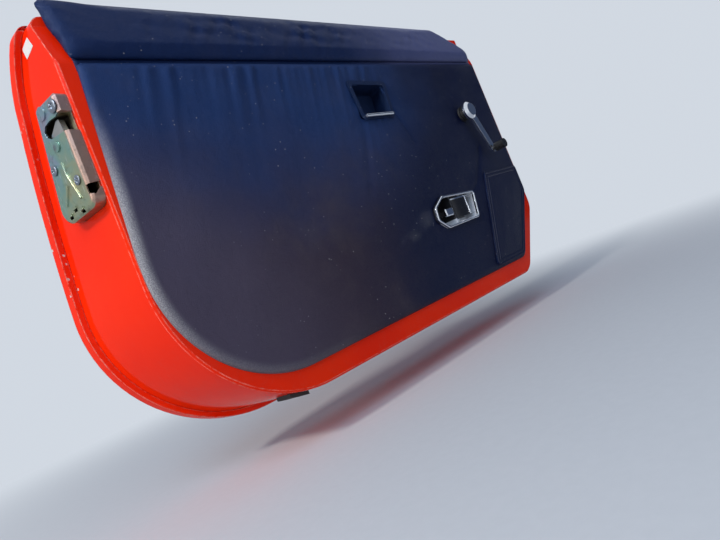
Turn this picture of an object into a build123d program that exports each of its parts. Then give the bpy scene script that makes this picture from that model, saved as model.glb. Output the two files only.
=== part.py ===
from build123d import *
import math
import os

# Front left door of a small open two-seater, in millimetres, drawn standing open.
# +X runs along the door from the latch edge to the hinge edge, +Y points out of the
# car through the skin, +Z is up. The origin is the centre of the lower hinge's bolt
# pattern on the door post. Closing turns the door about the upright pin line.
# Places in the door are named along (from the rear shut edge), out (from the inner
# panel towards the skin) and up (from the bottom edge). What belongs to the waist is
# set by its drop below the waist, what belongs to the front end by how far back it is.

# Door outline, seen from the side
DOOR_LENGTH = 855.0        # rear shut edge to front shut face, at the inner panel
WAIST_HEIGHT = 525.0       # bottom edge to the skin's top edge
REAR_CORNER_R = 190.0      # big sweep from the latch edge into the bottom edge
FRONT_CORNER_R = 40.0
FRONT_BEND_R = 40.0
TOP_REAR_R = 14.0
FRONT_CUT_LENGTH = 100.0   # how far the lower front corner is drawn back
FRONT_CUT_HEIGHT = 125.0   # height at which the front edge starts to lean back
SHUT_SLANT = 0.2           # rear shut face runs this much rearward per unit outward
CREASE = 2.5               # bend between the shut faces and the inner panel

# Door section, seen from the rear
WAIST_OUT = 38.0
SHOULDER_OUT = 100.0
SHOULDER_DROP = 90.0
BELLY_OUT = 147.0
BELLY_UP = 190.0
SILL_OUT = 140.0
CROWN_BULGE = 10.0         # skin's bow between waist and shoulder
CROWN_LIFT = 6.0
FLANK_BULGE = 6.0          # skin's bow between shoulder and belly
TUCK_BULGE = 1.0
INNER_TOP_OUT = 18.0       # inner panel leans out to here under the top roll
INNER_TOP_DROP = 13.0
INNER_BEND_DROP = 66.0

# Sheet metal
SKIN = 1.5
WALL = 1.5
HEM_DEPTH = 14.0
HEM_STEP = 8.0
HEM_DROP = 28.0            # the hem ends this far below the waist, under the roll
TOP_SLOT_BACK = 20.0       # glass slot in the shell's top, short of the front end
TOP_SLOT_REAR = 42.0
SEAT = 0.3                 # clearance of seated pieces

# Hinges
OPEN_ANGLE = 56.0          # the door stands this far open
PIN_GAP = 20.0             # pin line to each face that carries a leaf
PIN_OUT = 104.0            # pin line outward of the inner panel
LEAF_CENTRE = 42.0         # bolt pattern inboard of the pin line
LEAF_WIDTH = 52.0
LEAF_HEIGHT = 56.0
LEAF_THICK = 4.0
LEAF_CORNER = 6.0
LEAF_BOLT_CIRCLE = 40.0
LEAF_HOLE_R = 4.5
KNUCKLE_R = 9.0
KNUCKLE_HEIGHT = 16.0
KNUCKLE_GAP = 1.0
KNUCKLE_ROOM = 12.0        # the cut for the other leaf's knuckle, round its own
ARM_FOOT = 6.0             # arm's root, in from the plate's edge
ARM_BACK = 15.0            # arm's hollow side, inboard of the pin line
ARM_LEAN_X = 5.0           # where the arm's flat runs off the knuckle
ARM_LEAN_Y = 7.5
ARM_NECK_X = 9.0
ARM_NECK_Y = 2.0
PIN_R = 5.0
PIN_HEAD_R = 7.5
PIN_HEAD = 3.0
PIN_TAIL = 3.0
PIN_FIT = 0.05
LOWER_HINGE_UP = 172.0
UPPER_HINGE_DROP = 179.0

# Check strap: its pivot and its slot lie equally far from the pin line, so that the
# strap turns by just half of what the door turns
STRAP_INBOARD = 60.0       # slot inboard of the pin line
STRAP_POST_AHEAD = 8.0     # strap pivot ahead of the pin line, door shut
STRAP_LENGTH = 112.0
STRAP_THICK = 4.0
STRAP_TALL = 16.0
STRAP_EYE_R = 7.0
STRAP_PIN_R = 4.0
STRAP_PIN_END = 2.0
STRAP_STOP = 12.0
GUIDE_SIZE = 40.0
GUIDE_HEIGHT = 52.0
GUIDE_THICK = 3.0
GUIDE_SLOT = 14.0
GUIDE_ROOM = 8.0           # slot taller than the strap
GUIDE_SEAT = 0.1
GUIDE_CORNER = 5.0
CLEVIS_EAR = 3.0
CLEVIS_WIDE = 14.0
CLEVIS_BASE = 3.0
CLEVIS_BASE_WIDE = 24.0
CLEVIS_BASE_TALL = 64.0
CLEVIS_HOLE_R = 3.5
CLEVIS_HOLE_SPACING = 46.0

# Card, patch and roll
CARD_BOTTOM = 31.0
CARD_DROP = 70.0
CARD_THICK = 7.0
CARD_REAR_R = 168.0
CARD_REAR_TOP = 20.0       # card's rear edge at its top, from the shut edge
CARD_REAR_LOW = 3.0
CARD_LEAN_UP = 222.0
CARD_LEAN_R = 200.0
CARD_TOP_REAR_R = 6.0
CARD_TOP_FRONT_R = 4.0
CARD_FRONT = 10.0
CARD_CUT_LENGTH = 95.0
CARD_CUT_HEIGHT = 160.0
CARD_CORNER_R = 24.0
PATCH_EDGE = 6.0           # patch edge in from the card's edge
PATCH_THICK = 2.0
PATCH_TOP_BACK = 140.0
PATCH_LOW_BACK = 219.0
PATCH_UP = 218.0
PATCH_SHARP_R = 8.0
PATCH_ROUND_R = 20.0
ROLL_RISE = 23.0           # roll's top above the waist
ROLL_REAR = 4.0
ROLL_FRONT_BACK = 95.0     # roll's front end at its top, back from the front edge
ROLL_TIP_BACK = 13.0
ROLL_GROOVE = 4.0          # open joint between card and roll
ROLL_BULGE = 3.0           # roll stands this far inboard of the card
ROLL_UNDER = 1.0           # underside's slope
ROLL_TOP_OUT = 7.0
ROLL_SWELL_R = 8.0
ROLL_TOP_R = 8.0
ROLL_END_R = 16.0
ROLL_TIP_R = 6.0
ROLL_HEM_R = 3.0
ROLL_LIP = 5.0

# Glass, its guides and its wiper strips
GLASS_THICK = 4.0
GLASS_OUT = 29.5
GLASS_REAR = 82.0
GLASS_FRONT_BACK = 120.0
GLASS_BOTTOM = 92.0
GLASS_RISE = 2.0
GLASS_LOW_R = 40.0
GLASS_TOP_R = 10.0
RUN_WIDE = 14.0
RUN_DEEP = 12.0
RUN_BELOW = 12.0
RUN_DROP = 24.0
RUN_FOOT = 16.0
RUN_FOOT_LOW = 18.0        # lower foot above the glass's bottom
RUN_FOOT_HIGH = 208.0
WIPER_REAR = 60.0
WIPER_BACK = 105.0
WIPER_DROP = 10.0
WIPER_RISE = 6.0
WIPER_ROOT = 4.0           # height of the wiper's straight foot
WIPER_TIP = 1.2

# Latch: a pressed case on the rear shut face. Its places are s, along the slanted
# face from the inner panel, v, up from the case's lower edge, and h, off the face
LATCH_DROP = 234.0
CASE_DEEP = 15.5
CASE_SHEET = 1.6
CASE_FOLD = 3.0
CASE_SEAT = 0.2
NOTCH_DEEP = 8.0           # the lever's notch reaches this far in from the inner panel
POCKET_SHEET = 1.5
CLAW_LOW = 5.0             # claw between these heights off the face
CLAW_HIGH = 11.5
CLAW_ROOM = 0.8
CLAW_PIVOT_S = 32.0
CLAW_PIVOT_V = 81.0
CLAW_EYE_R = 12.0
CLAW_PIN_R = 4.0
RIB_R = 1.7
TAB_LONG = 7.0
TAB_WIDE = 3.0
TAB_RISE = 1.4

# Pull recess, inner handle and crank, let into the card or standing on it
CUP_WALL = 2.0
CUP_FLANGE = 1.5
PULL_DEEP = 24.0
PULL_LIP = 5.0
PULL_TAPER = 3.0           # how far each wall draws in
PULL_CUT = 4.0             # corners of the recess, cut off
LIP_BAR_R = 3.0
HANDLE_DEEP = 20.0
BEZEL_RIM = 4.0
PAN_CUT = 3.0              # corners of the pan behind the bezel, cut off
BEZEL_STAND = 4.5
BEZEL_EDGE = 1.2
PADDLE_HINGE_BACK = 279.0
PADDLE_LONG = 48.0
PADDLE_LOW = 149.0
PADDLE_HIGH = 186.0
PADDLE_THICK = 2.6
PADDLE_BOW = 3.5
PADDLE_HINGE_R = 3.2
PADDLE_CORNER_R = 5.0
LOCK_BACK = 297.0          # lock knob's middle
LOCK_UP = 164.0
LOCK_LONG = 22.0
LOCK_TALL = 14.0
LOCK_THICK = 6.0
LOCK_EDGE = 1.5
LOCK_STEM = 8.0
DIVIDER = 3.0
CRANK_BACK = 130.0
CRANK_DROP = 183.0
CRANK_REACH = 90.0
CRANK_TURN = -71.0         # degrees, arm's direction as it stands
CRANK_STAND = 20.0
CRANK_SHAFT_R = 7.0
CRANK_SHAFT_IN = 11.0      # how far it reaches behind the inner panel
CRANK_HOLE_R = 9.0
CRANK_WASHER_R = 15.0
CRANK_WASHER = 4.0
CRANK_NECK_R = 11.0
CRANK_HEAD_R = 18.0
CRANK_HEAD_TALL = 10.0
CRANK_ARM_THICK = 6.0
CRANK_ROOT_HALF = 8.0
CRANK_TIP_R = 7.0
CRANK_DOME = 5.0
KNOB_STALK_R = 4.5
KNOB_STALK = 5.0
KNOB_LONG = 21.0
KNOB_R = 9.0

# Buffer, drain and outer handle
RUBBER_START = 126.0
RUBBER_END = 154.0
RUBBER_OUT_LOW = 10.0
RUBBER_OUT_HIGH = 44.0
RUBBER_TALL = 40.0
RUBBER_THICK = 5.0
DRAIN_BACK = 165.0
DRAIN_OUT = 22.0
DRAIN_R = 4.0
PULL_BAR_REAR = 60.0
PULL_BAR_LONG = 130.0
PULL_BAR_SHARE = 0.8       # its height, as a share of the way from belly to shoulder
PULL_BAR_TALL = 18.0
PULL_BAR_OUT = 126.0       # bar's ends
PULL_BAR_BOW = 18.0
PULL_BAR_THICK = 12.0
PULL_FOOT = 24.0
PULL_FOOT_IN = 96.0
PULL_EDGE = 3.0
BUTTON_IN = 12.0           # button's middle from the handle's rear end
BUTTON_R = 7.0
BUTTON_STAND = 5.0
BUTTON_DEEP = 5.0
BUTTON_OUT = 134.0
BARREL_SHARE = 0.62        # lock's height, likewise
BARREL_R = 9.0
BARREL_IN = 100.0
BARREL_OUT = 126.0
KEYWAY = 1.6
KEYWAY_LONG = 9.0
KEYWAY_DEEP = 3.0

# Working margins of the cutting solids
BEYOND = 60.0              # how far they reach past the door
OVERRUN = 5.0              # how far the skin's curve runs on past the waist

# Corner places: columns are s and v of the latch's case, mouth and claw
CASE_CORNERS = [(3, 0), (80, 0), (49, 134), (3, 132)]
CASE_RADII = [12, 18, 6, 5]
MOUTH_CORNERS = [(-8, 86), (36, 92), (43, 97), (45, 104), (40, 109), (28, 110), (14, 108), (-8, 113)]
NO_RADII = [0] * len(MOUTH_CORNERS)
CLAW_CORNERS = [(20, 77), (44, 77), (45, 88), (41, 98), (23, 107), (17, 107), (15, 92)]
CLAW_RADII = [3, 4, 3, 4, 1.5, 1.5, 4]
# Columns are h and v of the cut for the release lever in the case's inboard wall
NOTCH_CORNERS = [(-1, 27), (18, 24), (18, 15), (10, 12), (3, 19), (-1, 21)]
# Columns are s, v and radius of the case's raised seats
LATCH_SEATS = [(37, 123, 8.0), (CLAW_PIVOT_S, CLAW_PIVOT_V, 6.0)]
SEAT_RISE = 1.2
# Columns are s, v, s, v of each pressed rib's ends; then s and v of the lanced tabs
LATCH_RIBS = [(34, 62, 34, 48), (34, 48, 24, 17), (41, 37, 56, 20)]
LATCH_TABS = [(56, 8), (43, 12), (30, 6)]
# Columns are how far back from the front edge and how far up, or below the waist
PULL_CORNERS = [(414, 168), (342, 169), (334, 112), (418, 108)]
BEZEL_CORNERS = [(340, 154), (317, 136), (217, 138), (204, 190), (306, 195), (336, 178)]
BEZEL_RADII = [7, 7, 6, 6, 7, 7]


def turned(x, y, degrees):
    """Plan place turned about the upright axis."""
    a = math.radians(degrees)
    return x * math.cos(a) - y * math.sin(a), x * math.sin(a) + y * math.cos(a)


# The post leaf's bolt pattern, seen from the pin line, sets where the pin line lies
pattern_x, pattern_y = turned(PIN_GAP, -LEAF_CENTRE, OPEN_ANGLE)
PIN_X, PIN_Y = -pattern_x, -pattern_y
X_REAR = PIN_X - PIN_GAP - DOOR_LENGTH
Y_IN = PIN_Y - PIN_OUT
Z_BOTTOM = -LOWER_HINGE_UP

SHOULDER_UP = WAIST_HEIGHT - SHOULDER_DROP
INNER_TOP_UP = WAIST_HEIGHT - INNER_TOP_DROP
INNER_BEND_UP = WAIST_HEIGHT - INNER_BEND_DROP
CARD_TOP = WAIST_HEIGHT - CARD_DROP
CARD_FACE = -CARD_THICK - 2 * SEAT     # what lies on the card starts here
ROLL_TOP = WAIST_HEIGHT + ROLL_RISE
GLASS_FRONT = DOOR_LENGTH - GLASS_FRONT_BACK
HINGE_SPACING = WAIST_HEIGHT - UPPER_HINGE_DROP - LOWER_HINGE_UP
STRAP_UP = HINGE_SPACING / 2
STRAP_DOOR_UP = LOWER_HINGE_UP + STRAP_UP
STRAP_OUT = PIN_OUT - STRAP_INBOARD
GUIDE_TALL = STRAP_TALL + GUIDE_ROOM
PAN_GROW = CUP_WALL - BEZEL_RIM        # the pan's outline, from the bezel's
CRANK_ALONG = DOOR_LENGTH - CRANK_BACK
CRANK_UP = WAIST_HEIGHT - CRANK_DROP
LOW_OUT, HIGH_OUT = -BEYOND / 2, BELLY_OUT + BEYOND / 2

pull_outline = [(DOOR_LENGTH - back, WAIST_HEIGHT - drop) for back, drop in PULL_CORNERS]
bezel_outline = [(DOOR_LENGTH - back, up) for back, up in BEZEL_CORNERS]


def at(along, out, up):
    """Point in the door."""
    return Vector(X_REAR + along, Y_IN + out, Z_BOTTOM + up)


def block(along, out, up):
    """Box between two limits in each direction."""
    low = at(along[0], out[0], up[0])
    size = at(along[1], out[1], up[1]) - low
    corner = (Align.MIN, Align.MIN, Align.MIN)
    return Pos(low) * Box(size.X, size.Y, size.Z, align=corner)


def side_face(points, radii, out):
    """Face in a plane along the door, from its corners and their radii."""
    corners = [at(along, out, up) for along, up in points]
    return make_face(FilletPolyline(*corners, radius=radii, close=True).edges())


def side_plate(points, radii, out):
    """Plate with a side outline, between two depths."""
    return extrude(side_face(points, radii, out[0]), amount=out[1] - out[0], dir=(0, 1, 0))


def cut_corners(corners, size):
    """Two points for each corner, a fixed length before and after it."""
    points = [Vector(*corner) for corner in corners]
    pairs = []
    for before, corner, after in zip(points[-1:] + points[:-1], points, points[1:] + points[:1]):
        for other in (before, after):
            place = corner + (other - corner).normalized() * size
            pairs.append((place.X, place.Y))
    return pairs


def cut_face(corners, size, out):
    """Face in a plane along the door, its corners cut off."""
    points = [at(along, out, up) for along, up in cut_corners(corners, size)]
    return make_face(Polyline(*points, close=True).edges())


def cut_plate(corners, size, out):
    """Plate with cut corners, between two depths."""
    return extrude(cut_face(corners, size, out[0]), amount=out[1] - out[0], dir=(0, 1, 0))


def section_bar(edges, along):
    """Section across the door carried between two places along it."""
    return extrude(make_face(edges), amount=along[1] - along[0], dir=(1, 0, 0))


def spindle(along, up, radius, out):
    """Round bar across the door, between two depths."""
    centre = at(along, 0.5 * (out[0] + out[1]), up)
    return Pos(centre) * Rot(90, 0, 0) * Cylinder(radius, out[1] - out[0])


def grown(corners, amount):
    """Corners of an outline with every side moved outward by an amount."""
    pairs = list(zip(corners, corners[1:] + corners[:1]))
    way = math.copysign(1, sum(a * d - c * b for (a, b), (c, d) in pairs))
    normals = []
    for (a, b), (c, d) in pairs:
        reach = math.hypot(c - a, d - b)
        normals.append((way * (d - b) / reach, way * (a - c) / reach))
    moved = []
    for corner, before, after in zip(corners, normals[-1:] + normals[:-1], normals):
        share = amount / (1 + before[0] * after[0] + before[1] * after[1])
        moved.append((corner[0] + share * (before[0] + after[0]),
                      corner[1] + share * (before[1] + after[1])))
    return moved


def grown_radii(radii, amount):
    return [radius + amount if radius > 0 else 0 for radius in radii]


def bevelled(shape, axis, place, size):
    """Chamfers the edges that lie in a plane square to an axis."""
    return chamfer(shape.edges().filter_by_position(axis, place - 0.01, place + 0.01), size)


def save(shape, name):
    export_step(shape, f"parts/{name}.step")


def plug(inset):
    """The whole door seen from the side, its rear edge slanted outward."""
    front = DOOR_LENGTH - inset
    points = [
        (inset, inset),
        (front - FRONT_CUT_LENGTH, inset),
        (front, FRONT_CUT_HEIGHT),
        (front, WAIST_HEIGHT),
        (inset, WAIST_HEIGHT),
    ]
    radii = [REAR_CORNER_R - inset, FRONT_CORNER_R - inset, FRONT_BEND_R, 0, TOP_REAR_R]
    depth = HIGH_OUT - LOW_OUT
    face = side_face(points, radii, LOW_OUT)
    straight = extrude(face, amount=depth, dir=(0, 1, 0))
    level = Pos(-SHUT_SLANT * LOW_OUT, 0, 0) * face
    slanted = extrude(level, amount=depth * math.hypot(1, SHUT_SLANT), dir=(-SHUT_SLANT, 1, 0))
    middle = DOOR_LENGTH / 2
    deep = (LOW_OUT - BEYOND, HIGH_OUT + BEYOND)
    tall = (-BEYOND, WAIST_HEIGHT + BEYOND)
    rear_half = slanted & block((-2 * BEYOND, middle), deep, tall)
    return rear_half + (straight & block((middle, DOOR_LENGTH + BEYOND), deep, tall))


def inboard(depth):
    """Everything inboard of the skin's outer surface, less a depth."""
    start = -2 * BEYOND

    def p(out, up):
        return at(start, out - depth, up)

    waist = p(WAIST_OUT - OVERRUN, WAIST_HEIGHT + OVERRUN)
    shoulder = p(SHOULDER_OUT, SHOULDER_UP)
    belly = p(BELLY_OUT, BELLY_UP)
    sill = p(SILL_OUT, -BEYOND)
    crown = p(0.5 * (WAIST_OUT + SHOULDER_OUT) + CROWN_BULGE,
              0.5 * (WAIST_HEIGHT + SHOULDER_UP) + CROWN_LIFT)
    flank = p(0.5 * (SHOULDER_OUT + BELLY_OUT) + FLANK_BULGE, 0.5 * (SHOULDER_UP + BELLY_UP))
    tuck = p(BELLY_OUT + TUCK_BULGE, 0.4 * BELLY_UP)
    top_out = p(WAIST_OUT - OVERRUN, WAIST_HEIGHT + BEYOND)
    top_in = at(start, LOW_OUT - BEYOND, WAIST_HEIGHT + BEYOND)
    low_in = at(start, LOW_OUT - BEYOND, -BEYOND)
    edges = [
        ThreePointArc(waist, crown, shoulder),
        ThreePointArc(shoulder, flank, belly),
        ThreePointArc(belly, tuck, sill),
        Line(sill, low_in),
        Line(low_in, top_in),
        Line(top_in, top_out),
        Line(top_out, waist),
    ]
    return section_bar(edges, (start, DOOR_LENGTH + 2 * BEYOND))


def outboard_of_inner(depth):
    """Everything outboard of the inner panel's face, plus a depth."""
    start = -2 * BEYOND
    points = [
        (depth, -BEYOND),
        (depth, INNER_BEND_UP),
        (INNER_TOP_OUT + depth, INNER_TOP_UP),
        (INNER_TOP_OUT + depth, WAIST_HEIGHT + BEYOND),
        (HIGH_OUT + BEYOND, WAIST_HEIGHT + BEYOND),
        (HIGH_OUT + BEYOND, -BEYOND),
    ]
    corners = [at(start, out, up) for out, up in points]
    return section_bar(Polyline(*corners, close=True).edges(), (start, DOOR_LENGTH + 2 * BEYOND))


def trim_holes(out):
    """Holes for the pull cup, the inner handle's pan and the crank's shaft."""
    holes = cut_plate(grown(pull_outline, SEAT), PULL_CUT, out)
    holes += cut_plate(grown(bezel_outline, PAN_GROW + SEAT), PAN_CUT, out)
    return holes + spindle(CRANK_ALONG, CRANK_UP, CRANK_HOLE_R, out)


def outer_skin():
    """Skin with its edge folded round on three sides."""
    inner_face = inboard(SKIN)
    shell = (plug(-HEM_STEP) & inboard(0)) - inboard(HEM_DEPTH)
    shell -= (plug(-HEM_STEP + SKIN) & inner_face) - inboard(HEM_DEPTH - SKIN)
    shell -= plug(-SEAT) & inner_face
    shell -= block((-BEYOND, DOOR_LENGTH + BEYOND), (-BEYOND, WAIST_OUT - SKIN),
                   (WAIST_HEIGHT - HEM_DROP, WAIST_HEIGHT + OVERRUN))
    return shell


def shell_form(depth):
    """The inner shell's outer form, or its hollow one wall further in."""
    form = plug(depth) & outboard_of_inner(depth)
    return bevelled(form, Axis.Y, Y_IN + depth, CREASE - 0.5 * depth)


def inner_shell():
    shell = shell_form(0) & inboard(SKIN + SEAT)
    shell -= shell_form(WALL)
    shell -= block((TOP_SLOT_REAR, DOOR_LENGTH - TOP_SLOT_BACK), (INNER_TOP_OUT + WALL, HIGH_OUT),
                   (WAIST_HEIGHT - OVERRUN, WAIST_HEIGHT + OVERRUN))
    through = (-OVERRUN, WALL + OVERRUN)
    shell -= trim_holes(through)
    shell -= block((DOOR_LENGTH - OVERRUN, DOOR_LENGTH + OVERRUN),
                   (STRAP_OUT - GUIDE_SLOT / 2, STRAP_OUT + GUIDE_SLOT / 2),
                   (STRAP_DOOR_UP - GUIDE_TALL / 2, STRAP_DOOR_UP + GUIDE_TALL / 2))
    shell -= Pos(at(DOOR_LENGTH - DRAIN_BACK, DRAIN_OUT, 0)) * Cylinder(DRAIN_R, 4 * OVERRUN)
    return shell


def door_card():
    front = DOOR_LENGTH - CARD_FRONT
    points = [
        (CARD_REAR_LOW, CARD_BOTTOM),
        (front - CARD_CUT_LENGTH, CARD_BOTTOM),
        (front, CARD_CUT_HEIGHT),
        (front, CARD_TOP),
        (CARD_REAR_TOP, CARD_TOP),
        (CARD_REAR_LOW, CARD_LEAN_UP),
    ]
    radii = [CARD_REAR_R, CARD_CORNER_R, FRONT_BEND_R, CARD_TOP_FRONT_R, CARD_TOP_REAR_R, CARD_LEAN_R]
    card = side_plate(points, radii, (-CARD_THICK - SEAT, -SEAT))
    return card - trim_holes((-CARD_THICK - OVERRUN, OVERRUN))


def front_patch():
    """Stitched panel over the card's lower front corner."""
    front = DOOR_LENGTH - CARD_FRONT - PATCH_EDGE
    low = CARD_BOTTOM + PATCH_EDGE
    points = [
        (DOOR_LENGTH - PATCH_LOW_BACK, low),
        (front - CARD_CUT_LENGTH, low),
        (front, CARD_CUT_HEIGHT),
        (front, PATCH_UP),
        (DOOR_LENGTH - PATCH_TOP_BACK, PATCH_UP),
    ]
    radii = [PATCH_SHARP_R, PATCH_ROUND_R, PATCH_ROUND_R, PATCH_SHARP_R, PATCH_SHARP_R]
    return side_plate(points, radii, (CARD_FACE - PATCH_THICK, CARD_FACE))


def top_roll():
    """Padded roll over the door's upper edge, its ends rounded in side view."""
    low = CARD_TOP + ROLL_GROOVE
    inner_out = INNER_TOP_OUT + WALL
    corners = [
        (-SEAT, low - ROLL_UNDER),
        (-CARD_THICK - ROLL_BULGE, low),
        (-CARD_THICK - ROLL_BULGE, low + 2 * ROLL_SWELL_R),
        (ROLL_TOP_OUT, ROLL_TOP),
        (inner_out, ROLL_TOP - ROLL_LIP),
        (inner_out, WAIST_HEIGHT + SEAT),
        (INNER_TOP_OUT - SEAT, WAIST_HEIGHT + SEAT),
        (INNER_TOP_OUT - SEAT, INNER_TOP_UP),
        (-SEAT, INNER_BEND_UP),
    ]
    radii = [0, ROLL_HEM_R, ROLL_SWELL_R, ROLL_TOP_R, ROLL_HEM_R, 0, 0, 0, 0]
    section = FilletPolyline(*[at(0, out, up) for out, up in corners], radius=radii, close=True)
    roll = section_bar(section.edges(), (0, DOOR_LENGTH))
    side = [
        (ROLL_REAR, CARD_TOP),
        (DOOR_LENGTH - ROLL_TIP_BACK, CARD_TOP),
        (DOOR_LENGTH - ROLL_TIP_BACK, CARD_TOP + 2 * ROLL_END_R),
        (DOOR_LENGTH - ROLL_FRONT_BACK, ROLL_TOP + 0.1),
        (ROLL_REAR, ROLL_TOP + 0.1),
    ]
    return roll & side_plate(side, [0, 0, ROLL_TIP_R, ROLL_END_R, ROLL_END_R], (-BEYOND, BEYOND))


def tapered(amount, outs):
    """The pull recess's outline with cut corners, grown, and drawn in towards the floor."""
    mouth = cut_face(grown(pull_outline, amount), PULL_CUT, outs[0])
    floor = cut_face(grown(pull_outline, amount - PULL_TAPER), PULL_CUT, outs[1])
    return loft([mouth, floor], ruled=True)


def pull_cup():
    """Tapered open cup with a thin flange round its mouth."""
    rim = cut_plate(grown(pull_outline, PULL_LIP), PULL_CUT, (CARD_FACE - CUP_FLANGE, CARD_FACE))
    body = tapered(0, (CARD_FACE - CUP_FLANGE, PULL_DEEP))
    return (body + rim) - tapered(-CUP_WALL, (CARD_FACE - 2 * CUP_FLANGE, PULL_DEEP - CUP_WALL))


def pull_lip():
    """Bright round bar along the recess's lower edge."""
    rear, front = pull_outline[0], pull_outline[1]
    long = front[0] - rear[0] - 2 * CUP_WALL
    centre = at(rear[0] + CUP_WALL + long / 2, CARD_FACE - CUP_FLANGE - SEAT - LIP_BAR_R, rear[1])
    bar = Pos(centre) * Rot(0, 90, 0) * Cylinder(LIP_BAR_R, long)
    return bevelled(bar, Axis.X, centre.X + long / 2, LIP_BAR_R / 3)


def handle_bezel():
    """Bright six-sided frame round the inner handle."""
    face = CARD_FACE - CUP_FLANGE
    ring = side_plate(bezel_outline, BEZEL_RADII, (face - BEZEL_STAND, face))
    ring -= cut_plate(grown(bezel_outline, -BEZEL_RIM), PAN_CUT,
                      (face - 2 * BEZEL_STAND, face + BEZEL_STAND))
    return bevelled(ring, Axis.Y, Y_IN + face - BEZEL_STAND, BEZEL_EDGE)


def handle_recess():
    """Dark pan behind the bezel, with a rib that carries the paddle's hinge."""
    face = CARD_FACE - CUP_FLANGE
    pan = cut_plate(bezel_outline, PAN_CUT, (face, CARD_FACE))
    pan += cut_plate(grown(bezel_outline, PAN_GROW), PAN_CUT, (CARD_FACE, HANDLE_DEEP))
    cavity = grown(bezel_outline, PAN_GROW - CUP_WALL)
    pan -= cut_plate(cavity, PAN_CUT, (face - OVERRUN, HANDLE_DEEP - CUP_WALL))
    hinge = DOOR_LENGTH - PADDLE_HINGE_BACK
    rib = block((hinge - PADDLE_HINGE_R - SEAT - DIVIDER, hinge - PADDLE_HINGE_R - SEAT),
                (face, HANDLE_DEEP - CUP_WALL), (0, WAIST_HEIGHT))
    return pan + (rib & cut_plate(cavity, PAN_CUT, (face, HANDLE_DEEP)))


def handle_lever():
    """Bowed paddle on an upright barrel at its rear end."""
    hinge = DOOR_LENGTH - PADDLE_HINGE_BACK
    start = CARD_FACE + PADDLE_HINGE_R + SEAT

    def arc(out):
        rear = at(hinge, out, PADDLE_LOW)
        front = at(hinge + PADDLE_LONG, out - 1, PADDLE_LOW)
        middle = at(hinge + PADDLE_LONG / 2, out - PADDLE_BOW, PADDLE_LOW)
        return ThreePointArc(rear, middle, front)

    inner, outer = arc(start - PADDLE_THICK / 2), arc(start + PADDLE_THICK / 2)
    edges = [inner, Line(inner @ 1, outer @ 1), outer, Line(outer @ 0, inner @ 0)]
    tall = PADDLE_HIGH - PADDLE_LOW
    plate = extrude(make_face(edges), amount=tall, dir=(0, 0, 1))
    free_end = X_REAR + hinge + PADDLE_LONG
    corner_edges = plate.edges().filter_by_position(Axis.X, free_end - PADDLE_THICK, free_end)
    plate = fillet(corner_edges.filter_by(Axis.Y, tolerance=15), PADDLE_CORNER_R)
    barrel_low = at(hinge, start, PADDLE_LOW)
    barrel = Pos(barrel_low + Vector(0, 0, tall / 2)) * Cylinder(PADDLE_HINGE_R, tall + 2 * SEAT)
    return plate + barrel


def lock_tab():
    """Small block-shaped lock knob on a stem from the pan's floor."""
    along, up = DOOR_LENGTH - LOCK_BACK, LOCK_UP
    points = [
        (along - LOCK_LONG / 2, up - LOCK_TALL / 2),
        (along + LOCK_LONG / 2, up - LOCK_TALL / 2),
        (along + LOCK_LONG / 2, up + LOCK_TALL / 2),
        (along - LOCK_LONG / 2, up + LOCK_TALL / 2),
    ]
    face = CARD_FACE - LOCK_THICK / 2
    knob = cut_plate(points, LOCK_EDGE, (face, face + LOCK_THICK))
    knob = bevelled(knob, Axis.Y, Y_IN + face, LOCK_EDGE)
    stem = block((along - LOCK_STEM / 2, along + LOCK_STEM / 2),
                 (face + LOCK_THICK, HANDLE_DEEP - CUP_WALL), (up - LOCK_STEM / 2, up + LOCK_STEM / 2))
    return knob + stem


crank_dx, crank_dz = turned(CRANK_REACH, 0, CRANK_TURN)
CRANK_TIP_ALONG, CRANK_TIP_UP = CRANK_ALONG + crank_dx, CRANK_UP + crank_dz
CRANK_FACE = CARD_FACE - CRANK_STAND


def crank_boss():
    """Washer on the card, neck and shaft."""
    washer = spindle(CRANK_ALONG, CRANK_UP, CRANK_WASHER_R, (CARD_FACE - CRANK_WASHER, CARD_FACE))
    neck = spindle(CRANK_ALONG, CRANK_UP, CRANK_NECK_R,
                   (CRANK_FACE + CRANK_ARM_THICK, CARD_FACE - CRANK_WASHER))
    shaft = spindle(CRANK_ALONG, CRANK_UP, CRANK_SHAFT_R, (CARD_FACE, WALL + CRANK_SHAFT_IN))
    return washer + neck + shaft


def crank_arm():
    """Domed head and an arm that narrows to the knob."""
    low, high = CRANK_FACE, CRANK_FACE + CRANK_ARM_THICK
    head = spindle(CRANK_ALONG, CRANK_UP, CRANK_HEAD_R, (high - CRANK_HEAD_TALL, high))
    head = bevelled(head, Axis.Y, Y_IN + high - CRANK_HEAD_TALL, CRANK_DOME)
    nx, nz = turned(1, 0, CRANK_TURN + 90)
    corners = [
        (CRANK_ALONG + nx * CRANK_ROOT_HALF, CRANK_UP + nz * CRANK_ROOT_HALF),
        (CRANK_TIP_ALONG + nx * CRANK_TIP_R, CRANK_TIP_UP + nz * CRANK_TIP_R),
        (CRANK_TIP_ALONG - nx * CRANK_TIP_R, CRANK_TIP_UP - nz * CRANK_TIP_R),
        (CRANK_ALONG - nx * CRANK_ROOT_HALF, CRANK_UP - nz * CRANK_ROOT_HALF),
    ]
    web = side_plate(corners, [0, 0, 0, 0], (low, high))
    web += spindle(CRANK_TIP_ALONG, CRANK_TIP_UP, CRANK_TIP_R, (low, high))
    return web + head


def crank_knob():
    """Turned grip on a short stalk."""
    foot = CRANK_FACE - KNOB_STALK
    stalk = spindle(CRANK_TIP_ALONG, CRANK_TIP_UP, KNOB_STALK_R, (foot, CRANK_FACE))
    return stalk + spindle(CRANK_TIP_ALONG, CRANK_TIP_UP, KNOB_R, (foot - KNOB_LONG, foot))


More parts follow.
